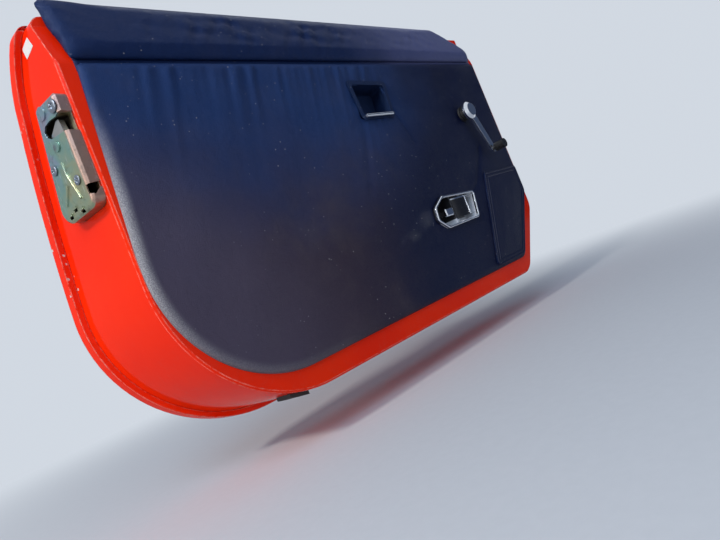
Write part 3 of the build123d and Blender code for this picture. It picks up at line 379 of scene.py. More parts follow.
CUT_FROM, CUT_TO = -5 * MM, 30 * MM   # the prisms reach past the cover on both sides
recess_corners = [(434.5, 355), (521.5, 355), (514.5, 413), (440, 414)]
pan_corners = [(517, 155), (540, 138.5), (637, 140), (649.5, 189), (550, 194), (520, 177)]
shaft_middle, shaft_radius = (725, 342), 8.6
turns = np.linspace(0, 2 * np.pi, 32, endpoint=False)
circle = np.stack([shaft_middle[0] + shaft_radius * np.cos(turns),
                   shaft_middle[1] + shaft_radius * np.sin(turns)], axis=-1)
openings = {
    "recess": rounded_outline(recess_corners, [5] * 4, 48),
    "pan": rounded_outline(pan_corners, [3] * 6, 60),
    "shaft": circle * MM,
}
for opening_name, loop in openings.items():
    cut(card_cover, prism("cutter_" + opening_name, loop, CUT_FROM, CUT_TO))
mark_edge(card_cover, card_outline)
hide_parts("door_card")
tell(card_cover)

# %% [markdown]
# ## The stitched patch
# A second piece of vinyl reinforces the card's lower front corner, where shoes scuff.
# Its edge is folded under and sewn down with a double row. The fold makes a bead along
# the edge and the thread draws the cover in, so the height falls beside each row.

# %% Patch and its height
patch_low, patch_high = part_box("front_patch")
PATCH_THICK = patch_high.y - patch_low.y
PATCH_FOOT = INNER - patch_high.y
BEAD = 1.6 * MM                       # radius of the folded edge
SEWN_ROWS = (4.5 * MM, 11.5 * MM)     # thread rows, in from the patch's edge
SEWN_DEPTH, SEWN_WIDTH = 0.7 * MM, 1.4 * MM
CROWN, SWELL, CROWN_CAP = 0.9 * MM, 0.5 * MM, 1.2 * MM
patch_corners = [(636, 37), (744, 37), (839, 160), (839, 218), (715, 218)]
patch_radii = [8, 20, 20, 8, 8]


def patch_height(u, v, edge):
    """Folded bead at the edge, pulled down along both sewn rows, crowned between."""
    form = PATCH_THICK * np.sqrt(1 - np.clip(1 - edge / BEAD, 0, 1) ** 2)
    for row in SEWN_ROWS:
        form -= SEWN_DEPTH * np.exp(-(((edge - row) / SEWN_WIDTH) ** 2))
    crown = CROWN * smooth_step(edge, 12 * MM, 45 * MM)
    swell = waves(u, 31, 40 * MM, 90 * MM) * waves(v - 0.4 * u, 32, 50 * MM, 110 * MM)
    crown += SWELL * swell * smooth_step(edge, 8 * MM, 30 * MM)
    return PATCH_FOOT + form + np.minimum(crown, CROWN_CAP) * smooth_step(edge, 6 * MM, 20 * MM)


patch_outline = rounded_outline(patch_corners, patch_radii, 320)
patch_cover = covered_board("patch_cover", patch_outline, panel_plane, patch_height, 70,
                            back=PATCH_FOOT)
mark_edge(patch_cover, patch_outline)
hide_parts("front_patch")
tell(patch_cover)

# %% [markdown]
# Each stitch is a short fat thread lying in its row. All stitches are one mesh: the
# points of one capsule are added to every place at once, turned to the row's heading.

# %% Stitches
STITCH_PITCH, STITCH_LONG, STITCH_THICK = 4.2 * MM, 3.2 * MM, 0.42 * MM
STITCH_RINGS, STITCH_ROUND = 7, 6


def seam_path(corners, inset):
    """A line with one bend, moved sideways by an inset.

    The bend moves along the sum of both sides by inset / (1 + cosine between them).
    """
    way = np.array(corners, float) * MM
    heading = np.diff(way, axis=0)
    heading /= np.linalg.norm(heading, axis=1)[:, None]
    side = np.stack([heading[:, 1], -heading[:, 0]], axis=1)
    first, last = way[0] + inset * side[0], way[-1] + inset * side[-1]
    mitre = inset / (1 + (side[0] * side[1]).sum())
    return np.array([first, way[1] + mitre * (side[0] + side[1]), last])


def stitch_row(path, pitch):
    """Places along a path and the heading there, one for each stitch."""
    length = np.linalg.norm(np.diff(path, axis=0), axis=1).sum()
    places = even_steps(path, int(length / pitch))[1:]
    heading = np.gradient(places, axis=0)
    return places, heading / np.linalg.norm(heading, axis=1)[:, None]


def stitches(name, places, heading, proud, length, radius):
    """Capsules: along = half length * sin(a), girth = radius * cos(a)^0.6, round by b."""
    a = np.linspace(-np.pi / 2, np.pi / 2, STITCH_RINGS)
    b = np.linspace(0, 2 * np.pi, STITCH_ROUND, endpoint=False)
    run = 0.5 * length * np.sin(a)[:, None] * np.ones(STITCH_ROUND)
    girth = np.cos(a)[:, None] ** 0.6 * radius
    across, height = girth * np.cos(b), girth * np.sin(b)
    along_it = heading[:, None, None, :] * run[None, ..., None]
    side = np.stack([-heading[:, 1], heading[:, 0]], axis=-1)
    across_it = side[:, None, None, :] * across[None, ..., None]
    centre = places[:, None, None, :] + along_it + across_it
    lifted = proud[:, None, None] + height[None]
    points = panel_plane(centre[..., 0], centre[..., 1], lifted)
    shift = STITCH_RINGS * STITCH_ROUND * np.arange(len(places))[:, None, None]
    faces = ring_faces(STITCH_RINGS, STITCH_ROUND)[None] + shift
    return make_piece(name, points, [faces.reshape(-1, 4)])


sewn_edge = [(638, 42), (715, 218), (836, 218)]
threads = []
for row_name, inset in zip(("outer", "inner"), SEWN_ROWS):
    places, heading = stitch_row(seam_path(sewn_edge, inset), STITCH_PITCH)
    proud = patch_height(places[:, 0], places[:, 1], np.full(len(places), inset)) + 0.1 * MM
    thread = stitches(f"stitches_{row_name}", places, heading, proud, STITCH_LONG, STITCH_THICK)
    threads.append(thread)
    print(thread.name, len(places), "stitches")

# %% [markdown]
# ## The padded roll
# The roll is a foam strip in vinyl along the door's upper edge, fat towards the cabin
# and lying on the steel behind. Its section leans outboard as it goes up, and its
# front end follows the window's slope. A formula gives the stuffed form, and a short
# cloth simulation with pressure inside lets the cover swell and pull as a skin does.
# The back is held still, because it lies on the painted steel.

# %% Roll: form from two parameters
roll_low, roll_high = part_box("top_roll")
ROLL_START = roll_low.x - REAR
ROLL_END = roll_high.x - REAR - 2 * MM
ROLL_BASE = roll_low.z - BOTTOM
ROLL_TOP = roll_high.z - BOTTOM - 2 * MM
ROLL_SLOPE = 760 * MM                 # where the front end begins to fall
ROLL_TIP = 489 * MM                   # its height at the front end
ROLL_TOP_R, ROLL_FOOT_R, ROLL_END_R = 15 * MM, 3.5 * MM, 12 * MM
END_LEAN = 11 * MM                    # the rear end starts this much later at the foot
EVEN_SHARE = 0.3                      # share of even spacing among rings that crowd at the ends
MIDDLE_SHARE = 0.3                    # the middle line's place between back and cabin side
# Columns are up and out: the back that lies on steel, and the cabin side
ROLL_BACK = np.array([(456, -0.6), (512, 17.2), (526, 17.6), (550, 18.4)]) * MM
ROLL_FACE = np.array([(456, -7.6), (476, -8.2), (550, 8.0)]) * MM


def quarter(distance, radius):
    """Rise of a quarter round: the square root of 1 - (1 - distance / radius)^2.

    It is 0 at the foot and stays 1 from one radius inward.
    """
    return np.sqrt(np.maximum(1 - np.clip(1 - distance / radius, 0, 1) ** 2, 0))


def roll_points(rows, columns):
    """Section height w runs up the cabin side and down the back, along runs the length.

    Both sides leave a middle line by their depth times three quarter rounds: at the
    top, at the foot and at the ends, so the form closes by itself everywhere.
    """
    s = 0.5 * (1 - np.cos(np.pi * np.linspace(0, 1, rows)))
    s = (1 - EVEN_SHARE) * s + EVEN_SHARE * np.linspace(0, 1, rows)
    w = 0.5 * (1 - np.cos(2 * np.pi * np.linspace(0, 1, columns, endpoint=False)))
    cabin = (np.arange(columns) < columns / 2)[None, :]
    start = ROLL_START + END_LEAN * (1 - w)[None, :]
    along = start + (ROLL_END - start) * s[:, None]
    fall = np.clip((along - ROLL_SLOPE) / (ROLL_END - ROLL_SLOPE), 0, 1)
    top = ROLL_TOP + (ROLL_TIP - ROLL_TOP) * fall
    up = ROLL_BASE + (top - ROLL_BASE) * w
    rise = quarter(top - up, ROLL_TOP_R) * quarter(up - ROLL_BASE, ROLL_FOOT_R)
    rise *= quarter(np.minimum(along - start, ROLL_END - along), ROLL_END_R)
    back = np.interp(up, ROLL_BACK[:, 0], ROLL_BACK[:, 1])
    face = np.interp(up, ROLL_FACE[:, 0], ROLL_FACE[:, 1])
    middle = back + MIDDLE_SHARE * (face - back)
    out = middle + np.where(cabin, face - middle, back - middle) * rise
    return np.stack([REAR + along, INNER + out, BOTTOM + up], axis=-1)


roll_rows, roll_columns = 220, 64
roll_cover = make_piece("roll_cover", roll_points(roll_rows, roll_columns),
                        [ring_faces(roll_rows, roll_columns)])
tell(roll_cover)

# %% [markdown]
# The recipe for swelling is a voxel remesh, so that the cloth has even springs, then
# twenty frames of Cloth with inner pressure and without gravity. Points may only move
# by a capped distance, and the back not at all.

# %% Roll: swelling by cloth simulation
SWELL_CAP = 3.0 * MM
ROLL_VOXEL = 5 * MM
ROLL_PRESSURE = 4.0
CLOTH_FRAMES = 20


def put_points(mesh, points):
    """Writes an n x 3 array back to a mesh."""
    mesh.vertices.foreach_set("co", points.reshape(-1))
    mesh.update()


def modified(piece, name, kind, **settings):
    """Adds a modifier, sets its values and applies it."""
    extra = piece.modifiers.new(name, kind)
    for key, value in settings.items():
        setattr(extra, key, value)
    frozen(piece)


def swollen(piece, voxel, pressure, cap, held):
    """Cloth blown up from inside; each move is cut to a cap and faded where held.

    The new place is start + move * min(1, cap / |move|) * (1 - held).
    """
    modified(piece, "remesh", "REMESH", mode="VOXEL", voxel_size=voxel)
    start = read_all(piece.data.vertices, "co")
    cloth = piece.modifiers.new("swell", "CLOTH")
    cloth.settings.quality = 5
    cloth.settings.use_pressure = True
    cloth.settings.uniform_pressure_force = pressure
    cloth.settings.tension_stiffness = cloth.settings.compression_stiffness = 25
    cloth.settings.bending_stiffness = 2
    cloth.settings.effector_weights.gravity = 0
    cloth.point_cache.frame_start, cloth.point_cache.frame_end = 1, CLOTH_FRAMES
    for frame_number in range(1, CLOTH_FRAMES + 1):
        bpy.context.scene.frame_set(frame_number)
    frozen(piece)
    bpy.context.scene.frame_set(1)
    move = read_all(piece.data.vertices, "co") - start
    length = np.linalg.norm(move, axis=1)[:, None]
    move *= np.minimum(1, cap / np.maximum(length, 1e-9)) * (1 - held(start))[:, None]
    put_points(piece.data, start + move)
    furthest = float(np.linalg.norm(move, axis=1).max())
    print(f"{piece.name} swelled by up to {1000 * furthest:.1f} mm")
    modified(piece, "fine", "SUBSURF", levels=1, render_levels=1)


def on_the_steel(co):
    """1 on the roll's back and foot, 0 on its cabin side: 1.6 - depth / 6 mm, clipped."""
    up = co[:, 2] - BOTTOM
    back = INNER + np.interp(up, ROLL_BACK[:, 0], ROLL_BACK[:, 1])
    return np.clip(1.6 - (back - co[:, 1]) / (6 * MM), 0, 1)


swollen(roll_cover, ROLL_VOXEL, ROLL_PRESSURE, SWELL_CAP, on_the_steel)

# %% [markdown]
# Old vinyl over foam isn't even: it has a shallow crumple along the middle of the roll,
# pulls at its rear end and along its lower seam. These are added after the simulation,
# as moves along the normal, and limited to the cabin side and to the solid's length
# and height.

# %% Roll: crumples on the cabin side
CRUMPLE, END_PULL, SEAM_PULL = 1.7 * MM, 1.0 * MM, 0.6 * MM
CRUMPLE_UP, CRUMPLE_SPREAD = 505 * MM, 26 * MM  # middle of the crumpled band, its half height
RELIEF_CAP = 1.2 * MM
roll_co = read_all(roll_cover.data.vertices, "co")
along, up = roll_co[:, 0] - REAR, roll_co[:, 2] - BOTTOM
crumple = waves(along + 0.6 * up, 41, 26 * MM, 60 * MM)
crumple *= waves(0.5 * along - up, 42, 18 * MM, 44 * MM)
crumple *= smooth_step(along, 60 * MM, 200 * MM)
crumple *= np.exp(-(((up - CRUMPLE_UP) / CRUMPLE_SPREAD) ** 2))
end_pull = waves(up + 0.35 * along, 43, 16 * MM, 30 * MM)
end_pull *= np.exp(-(along - ROLL_START) / (30 * MM))
seam_pull = waves(along, 44, 12 * MM, 30 * MM) * np.exp(-(up - ROLL_BASE) / (9 * MM))
relief = CRUMPLE * crumple + END_PULL * end_pull + SEAM_PULL * seam_pull
relief = np.minimum(relief * (1 - on_the_steel(roll_co)), RELIEF_CAP)
roll_co += read_all(roll_cover.data.vertex_normals, "vector") * relief[:, None]
roll_co[:, 0] = np.clip(roll_co[:, 0], roll_low.x, roll_high.x)
roll_co[:, 2] = np.clip(roll_co[:, 2], roll_low.z, roll_high.z)
put_points(roll_cover.data, roll_co)
shade_smooth(roll_cover.data)
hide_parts("top_roll")
tell(roll_cover)

# %% [markdown]
# Between the roll and the card no steel shows, because the roll's vinyl runs on down
# behind the card, where it is glued. That tail follows the panel's bend below the
# waist. It is a profile carried along the door: up the front, back down the rear, and
# thinner than the gap that the CAD leaves between the covers and the panel.

# %% Roll: the tail behind the card
TAIL_FRONT, TAIL_BACK = 0.24 * MM, 0.04 * MM  # its two sides, off the panel
BEND_UP, BEND_RUN = 459 * MM, 53 * MM  # the panel leans outboard from here on
TAIL_RINGS = 120
tail_up = np.concatenate([np.linspace(446, 459, 6), np.linspace(461, 474, 6)]) * MM
lean = np.maximum(tail_up - BEND_UP, 0) / BEND_RUN * (ROLL_BACK[1, 1] - ROLL_BACK[0, 1])
tail_loop = np.concatenate([tail_up, tail_up[::-1]])
tail_proud = np.concatenate([TAIL_FRONT - lean, (TAIL_BACK - lean)[::-1]])
tail_along = np.linspace(19, 842, TAIL_RINGS)[:, None] * MM
tail_points = panel_plane(tail_along, tail_loop[None], tail_proud[None])
roll_tail = make_piece("roll_tail", tail_points, tube_faces(TAIL_RINGS, len(tail_loop)))
tell(roll_tail)

# %% [markdown]
# ## Screws and bolts
# A screw head is a surface of revolution, and its cross recess is a dip in the same
# grid: height falls where a point is inside the cross and not too far from the axis.
# One function makes every head, given two directions and a place.

# %% One function for screw heads
DOME_FALL = 0.75                      # how much flatter than a ball the dome's edge is
BAR_FROM, BAR_TO = 0.07, 0.16         # where the cross's bars end sideways, as shares of R
ARM_FROM, ARM_TO = 0.42, 0.60         # where its arms end outward, as shares of R


def screw_points(radius, tall, recess, rings=14, count=48):
    """Local points (x, y, height): the dome is tall * sqrt(1 - fall * (r / R)^2).

    The recess is a cross of two bars that narrows with depth, cut with a smooth step.
    """
    r = radius * np.linspace(1, 0.02, rings)[:, None]
    a = np.linspace(0, 2 * np.pi, count, endpoint=False)[None, :]
    x, y = r * np.cos(a), r * np.sin(a)
    height = tall * np.sqrt(1 - DOME_FALL * (r / radius) ** 2) * np.ones_like(a)
    bar = np.minimum(np.abs(x), np.abs(y))
    inside = 1 - smooth_step(bar, BAR_FROM * radius, BAR_TO * radius)
    inside *= 1 - smooth_step(np.hypot(x, y), ARM_FROM * radius, ARM_TO * radius)
    height -= recess * tall * inside
    foot = np.stack([x[0], y[0], np.zeros(count)], axis=-1)[None]
    return np.concatenate([foot, np.stack([x, y, height], axis=-1)])


def head(name, place, axis, turn, radius, tall, recess=0.55):
    """Screw head at a place, its axis outward, its cross turned by degrees."""
    local = screw_points(radius, tall, recess)
    rows, count = local.shape[:2]
    w = np.array(axis, float) / np.linalg.norm(axis)
    u = np.cross(w, (0.0, 0.0, 1.0))
    u /= np.linalg.norm(u)
    v = np.cross(w, u)
    cos, sin = math.cos(math.radians(turn)), math.sin(math.radians(turn))
    x = local[..., 0] * cos - local[..., 1] * sin
    y = local[..., 0] * sin + local[..., 1] * cos
    points = np.array(place) + x[..., None] * u + y[..., None] * v + local[..., 2:] * w
    piece = make_piece(name, points, tube_faces(rows, count))
    for polygon in piece.data.polygons:
        polygon.use_smooth = len(polygon.vertices) == 4
    return piece


# %% [markdown]
# The latch is held by three cross-head screws, the upper one the largest. Their places
# are measured along the slanted face and up from the case's lower edge. Each door leaf
# has four bolts in a square, and the check strap's guide has two screws.

# %% Latch screws, hinge bolts and guide screws
LATCH_FOOT = WAIST - 234 * MM
LATCH_FACE = 15.6 * MM                # where the heads stand, off the shut face
LEAF_FACE, LEAF_MIDDLE = 4.1 * MM, 62 * MM  # off the front shut face, and out along it
BOLT_STEP = 14.1 * MM                 # from the leaf's middle to a bolt, both ways
BOLT_R, BOLT_TALL = 7.5 * MM, 3.6 * MM
GUIDE_SCREW_R, GUIDE_SCREW_TALL = 3.6 * MM, 1.8 * MM
GUIDE_SCREW_SHARE = 0.4               # guide screws' places, as a share of its height
forward = (1, 0, 0)
shut_out = (-math.cos(math.atan(SHUT_SLANT)), -math.sin(math.atan(SHUT_SLANT)), 0)
# Columns are side, up, radius and turn of each screw
latch_screws = [(11, 119, 7.8, 20), (54, 62, 6.0, 35), (18, 35, 5.6, 5)]
screws = []
for side, up_case, radius, turn in latch_screws:
    place = shut_plane(side * MM, LATCH_FOOT + up_case * MM, LATCH_FACE)
    name = f"latch_screw_{up_case}"
    screws.append(head(name, place, shut_out, turn, radius * MM, 0.4 * radius * MM))
leaf_bolts = []
for leaf in ("lower_door_leaf", "upper_door_leaf"):
    low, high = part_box(leaf)
    for row, column in ((-1, -1), (-1, 1), (1, -1), (1, 1)):
        up_leaf = (low.z + high.z) / 2 - BOTTOM + row * BOLT_STEP
        place = front_plane(LEAF_MIDDLE + column * BOLT_STEP, up_leaf, LEAF_FACE)
        name = f"{leaf[:5]}_bolt_{(row + 1) // 2}{(column + 1) // 2}"
        leaf_bolts.append(head(name, place, forward, 15 * row, BOLT_R, BOLT_TALL, recess=0.5))
low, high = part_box("check_guide")
for row in (-1, 1):
    up_guide = (low.z + high.z) / 2 + row * GUIDE_SCREW_SHARE * (high.z - low.z)
    place = (high.x, (low.y + high.y) / 2, up_guide)
    name = f"guide_screw_{(row + 1) // 2}"
    leaf_bolts.append(head(name, place, forward, 25, GUIDE_SCREW_R, GUIDE_SCREW_TALL))
print(len(screws), "latch screws,", len(leaf_bolts), "bolts and screws at the hinges")

# %% [markdown]
# A small blank paper diamond is stuck on the shut face below the roll. It is the
# covered board again, 0.16 mm thick, on the slanted plane.

# %% Paper label
PAPER_FRONT, PAPER_BACK = 0.18 * MM, 0.02 * MM  # off the shut face
label_corners = [(33, 508), (28, 494), (49, 489), (51, 503)]


def label_height(u, v, edge):
    """Paper is flat, so its front is one height everywhere."""
    return np.full(np.shape(u), PAPER_FRONT)


label_outline = rounded_outline(label_corners, [1] * 4, 64)
label = covered_board("blank_label", label_outline, shut_plane, label_height, 4, back=PAPER_BACK)
tell(label)

# %% [markdown]
# ## Writing shader maths as Python
# A material is a graph of nodes, and its arithmetic is easier to read as expressions.
# `Wire` wraps one output socket, and its operators add Math nodes, in both orders, so
# that 1 - mask works. `Graph.add` makes any node from its type, its settings, which
# are set first, and its sockets. `Finish` is the graph of one Principled material.

# %% Wire, Graph and Finish


class Wire:
    """One output socket; arithmetic on it adds Math nodes to its graph."""

    def __init__(self, graph, socket):
        self.graph, self.socket = graph, socket

    def __add__(self, other):
        return self.graph.math("ADD", self, other)

    def __sub__(self, other):
        return self.graph.math("SUBTRACT", self, other)

    def __rsub__(self, other):
        return self.graph.math("SUBTRACT", other, self)

    def __mul__(self, other):
        return self.graph.math("MULTIPLY", self, other)

    def __truediv__(self, other):
        return self.graph.math("DIVIDE", self, other)

    def __pow__(self, other):
        return self.graph.math("POWER", self, other)

    __radd__ = __add__
    __rmul__ = __mul__


class Graph:
    """A node tree; `add` makes every node in it."""

    def __init__(self, tree):
        self.tree = tree

    def add(self, kind, settings=None, sockets=None, out=0):
        """Any node: its type, its settings and the values or links of its sockets."""
        node = self.tree.nodes.new("ShaderNode" + kind)
        for key, value in (settings or {}).items():
            if key == "stops":
                self.set_stops(node, value)
            else:
                setattr(node, key, value)
        for key, value in (sockets or {}).items():
            if isinstance(value, Wire):
                self.tree.links.new(value.socket, node.inputs[key])
            else:
                node.inputs[key].default_value = value
        return Wire(self, node.outputs[out])

    def math(self, operation, first, second):
        """A Math node on two wires or numbers."""
        return self.add("Math", {"operation": operation}, {0: first, 1: second})

    @staticmethod
    def set_stops(node, stops):
        """A colour ramp's stops: place and colour."""
        stop_list = node.color_ramp.elements
        while len(stop_list) < len(stops):
            stop_list.new(0.5)
        for stop, (place, colour) in zip(stop_list, stops):
            stop.position, stop.color = place, (*colour, 1)


class Finish(Graph):
    """One Principled material; constants go straight onto the shader's sockets."""

    def __init__(self, name, **constants):
        self.material = bpy.data.materials.new(name)
        self.material.use_nodes = True
        super().__init__(self.material.node_tree)
        self.shader = self.tree.nodes["Principled BSDF"]
        for key, value in constants.items():
            self.shader.inputs[key.replace("_", " ")].default_value = value
        self.place = self.add("TexCoord", out="Object")
        axes = (self.add("SeparateXYZ", sockets={0: self.place}, out=axis) for axis in range(3))
        self.x, self.y, self.z = axes

    def noise(self, scale, detail=3.0, roughness=0.5, distortion=0.0, place=None):
        sockets = {"Vector": place or self.place, "Scale": scale, "Detail": detail,
                   "Roughness": roughness, "Distortion": distortion}
        return self.add("TexNoise", sockets=sockets)

    def cells(self, scale, feature="F1", out="Distance"):
        return self.add("TexVoronoi", {"feature": feature},
                        {"Vector": self.place, "Scale": scale}, out)

    def dots(self, scale, low, high):
        """1 in the middle of each Voronoi cell, 0 from high outwards."""
        return 1 - self.fade(self.cells(scale), low, high)

    def height_share(self):
        """Height as a share of the door's, 0 at its bottom edge and 1 at the waist."""
        return (self.z - BOTTOM) / WAIST

    def rounded(self, radius):
        """Normal rounded over edges by a radius in metres, as paint and plating are."""
        return self.add("Bevel", {"samples": 4}, {"Radius": radius})

    def stretched(self, x, y, z):
        """Object coordinates multiplied along each axis, for brushed or drawn patterns."""
        return self.add("Mapping", sockets={"Vector": self.place, "Scale": (x, y, z)})

    def fade(self, value, low, high):
        """0 below low, 1 above high, smooth between."""
        return self.add("MapRange", {"interpolation_type": "SMOOTHSTEP"},
                        {"Value": value, "From Min": low, "From Max": high})

    def mix(self, factor, first, second):
        """Colour between two colours."""
        pair = [(*c, 1) if isinstance(c, tuple) else c for c in (first, second)]
        return self.add("Mix", {"data_type": "RGBA"}, {0: factor, 6: pair[0], 7: pair[1]}, out=2)

    def ramp(self, value, stops):
        return self.add("ValToRGB", {"stops": stops}, {"Fac": value})

    def bump(self, height, distance, under=None):
        """Normal tilted by a height of 0 to 1, over a distance in metres."""
        sockets = {"Height": height, "Distance": distance}
        if under:
            sockets["Normal"] = under
        return self.add("Bump", sockets=sockets)

    def feed(self, **links):
        """Links what varies to the shader's own sockets."""
        for key, wire in links.items():
            self.tree.links.new(wire.socket, self.shader.inputs[key.replace("_", " ")])
        return self.material


# %% [markdown]
# ## Paint
# The steel is sprayed with solid orange-red enamel. Sprayed enamel has a faint orange
# peel, dust gathers low down, and the hem at the rear edge is chipped where doors
# touch in narrow places, down to pale primer. Chips are cells of a Voronoi pattern
# that a second, random value switches on, inside a band near the hem. The rounded
# creases get a painted highlight, pale and speckled, where the Bevel node's normal
# turns away from the face's own.

# %% Paint
ENAMEL_DEEP, ENAMEL_BRIGHT = (0.86, 0.019, 0.002), (0.92, 0.027, 0.002)
# The last of these colours is a painted highlight for the rounded creases.
ROAD_DUST, PRIMER, CREASE_HIGHLIGHT = (0.34, 0.22, 0.17), (0.62, 0.55, 0.50), (0.95, 0.50, 0.38)
enamel = Finish("orange_red_enamel", Coat_Weight=0.09, Coat_Roughness=0.05, IOR=1.40,
                Specular_IOR_Level=0.05)
uneven = enamel.fade(enamel.noise(7, 4), 0.3, 0.7)
colour = enamel.mix(uneven, ENAMEL_DEEP, ENAMEL_BRIGHT)
height_up = enamel.height_share()
low_down = 1 - enamel.fade(height_up, 0.02, 0.35)
dust = enamel.fade(enamel.noise(140, 6, 0.75), 0.48, 0.72) * (0.015 + 0.04 * low_down)
colour = enamel.mix(dust, colour, ROAD_DUST)
near_hem = 1 - enamel.fade(enamel.x, REAR - 26 * MM, REAR - 20 * MM)
outer_hem = enamel.fade(enamel.y, INNER + 60 * MM, INNER + 72 * MM) * near_hem
chip_size = enamel.cells(120) + 0.35 * enamel.noise(500, 2)
picked = enamel.fade(enamel.noise(45, 2), 0.60, 0.64)
middle_up = enamel.fade(height_up, 0.35, 0.45) * (1 - enamel.fade(height_up, 0.75, 0.85))
chip = (1 - enamel.fade(chip_size, 0.36, 0.40)) * picked * outer_hem * middle_up
colour = enamel.mix(chip, colour, PRIMER)
round_edge = enamel.rounded(2.2 * MM)
flat = enamel.add("NewGeometry", out="True Normal")
turned = enamel.add("VectorMath", {"operation": "DOT_PRODUCT"}, {0: round_edge, 1: flat}, "Value")
# Painted highlight: pale speckled colour on creases, where the bevel normal leaves the true normal.
highlight_speckle = enamel.fade(enamel.noise(170, 4, 0.7), 0.34, 0.62)
crease_highlight = (1 - enamel.fade(turned, 0.90, 0.995)) * highlight_speckle
colour = enamel.mix(crease_highlight * 0.75, colour, CREASE_HIGHLIGHT)
peel = enamel.bump(enamel.noise(260, 2), 0.00005, round_edge)
chipped = enamel.bump(1 - chip, 0.0002, peel)
paint = enamel.feed(Base_Color=colour, Roughness=0.13 + 0.35 * dust + 0.4 * chip, Normal=chipped)
print(paint.name, len(enamel.tree.nodes), "nodes")

# %% [markdown]
# ## Grained vinyl
# The black vinyl is embossed like leather: rounded cells of about a millimetre with
# finer wrinkles between. It is dusty from years of use, with brown patches low down.
# Its base colour also holds painted light: the tints from low to high and towards the
# front are painted sheen and shade, not the vinyl's own colour. On the card's rolled
# edge, low at the rear, a grey band is dust, where cloth and sleeves never wipe, and
# a painted highlight, over painted violet light. The `edge` attribute, stored
# on the card and its patch above, says how far each point is from their edges.

# %% Vinyl
BROWN_DUST, PALE_SPECK = (0.105, 0.083, 0.075), (0.45, 0.43, 0.42)
# The first of these colours is painted violet light, the second dust with a painted highlight.
EDGE_PAINTED_LIGHT, EDGE_DUST_AND_HIGHLIGHT = (0.078, 0.062, 0.090), (0.42, 0.41, 0.40)
DUST_AND_HIGHLIGHT_FROM, DUST_AND_HIGHLIGHT_TO = MM, 15 * MM    # dust and a painted highlight lie between these distances from an edge


def dust_and_light_on_edge(vinyl, tint):
    """Dust and a painted highlight on the rolled edge, low at the rear, over painted violet light."""
    distance = vinyl.add("Attribute", {"attribute_name": "edge"}, out="Fac")
    speckle = vinyl.fade(vinyl.noise(900, 2, 0.8), 0.38, 0.66)
    rolled = (1 - vinyl.fade(distance, DUST_AND_HIGHLIGHT_FROM, DUST_AND_HIGHLIGHT_TO)) * (0.35 + 0.65 * speckle)
    rolled *= 0.35 + 0.65 * vinyl.fade(vinyl.z, BOTTOM + 70 * MM, BOTTOM + 210 * MM)
    rearward = 1 - vinyl.fade(vinyl.x, REAR + 60 * MM, REAR + 330 * MM)
    slanted = vinyl.height_share() + 0.3 * (vinyl.x - REAR) / (200 * MM)
    # Painted light: the rear corner below a slanted line gets a lighter violet tint and the grey band.
    corner = rearward * (1 - vinyl.fade(slanted, 0.50, 0.85))
    return vinyl.mix(rolled * corner, vinyl.mix(0.8 * corner, tint, EDGE_PAINTED_LIGHT), EDGE_DUST_AND_HIGHLIGHT)


def vinyl_finish(name, painted_light_high, painted_light_low, painted_light_front, dusty, edge_dust_and_light=False):
    """Leather-grained vinyl: three painted-light tints, dusty patches, perhaps edge dust and highlight.

    The painted tint runs from low to high, and to a third one towards the front.
    """
    vinyl = Finish(name, IOR=1.45, Specular_IOR_Level=0.28, Specular_Tint=(0.35, 0.52, 1.0, 1.0))
    grain = vinyl.cells(820, "DISTANCE_TO_EDGE")
    fine = vinyl.noise(2600, 2)
    slow = vinyl.noise(5, 3, 0.55)
    height = vinyl.fade(vinyl.height_share() + 0.5 * slow - 0.25, 0.25, 0.75)
    # Painted light: the low-to-high tint is painted sheen, not the vinyl's own colour.
    tint = vinyl.mix(height, painted_light_low, painted_light_high)
    forward = vinyl.fade((vinyl.x - REAR) / LENGTH - 0.25 * height + 0.3 * slow, 0.42, 0.72)
    # Painted light: the front tint is painted shade on the card and a painted reflection on the roll.
    tint = vinyl.mix(forward, tint, painted_light_front)
    patches = vinyl.fade(vinyl.noise(14, 8, 0.72, 0.3), 0.44, 0.78)
    settled = patches * (1 - 0.7 * height) * (1 - 0.8 * forward) * dusty
    tint = vinyl.mix(settled, tint, BROWN_DUST)
    specks = vinyl.dots(110, 0.05, 0.11) * vinyl.fade(vinyl.noise(26, 3), 0.50, 0.60)
    tint = vinyl.mix(specks * 0.75, tint, PALE_SPECK)
    if edge_dust_and_light:
        tint = dust_and_light_on_edge(vinyl, tint)
    rough = 0.40 + 0.10 * vinyl.noise(14, 4) + 0.22 * settled - 0.10 * vinyl.fade(grain, 0.0, 0.35)
    pressed = vinyl.bump(vinyl.fade(grain, 0.0, 0.30), 0.00016)
    wrinkled = vinyl.bump(vinyl.noise(60, 5, 0.6, 0.6), 0.0009, vinyl.bump(fine, 0.00004, pressed))
    return vinyl.feed(Base_Color=tint, Roughness=rough, Normal=wrinkled)


# The three tints of each vinyl are painted sheen, light and shade, not its own colour.
card_vinyl = vinyl_finish("black_card_vinyl", (0.014, 0.034, 0.110), (0.040, 0.026, 0.036),
                          (0.0025, 0.0045, 0.024), dusty=0.35, edge_dust_and_light=True)
roll_vinyl = vinyl_finish("black_roll_vinyl", (0.005, 0.014, 0.058), (0.005, 0.012, 0.050),
                          (0.075, 0.085, 0.190), dusty=0.25)
cup_vinyl = vinyl_finish("black_cup_vinyl", (0.008, 0.018, 0.055), (0.006, 0.014, 0.045),
                         (0.004, 0.009, 0.032), dusty=0.05)
print(card_vinyl.name, roll_vinyl.name, cup_vinyl.name)

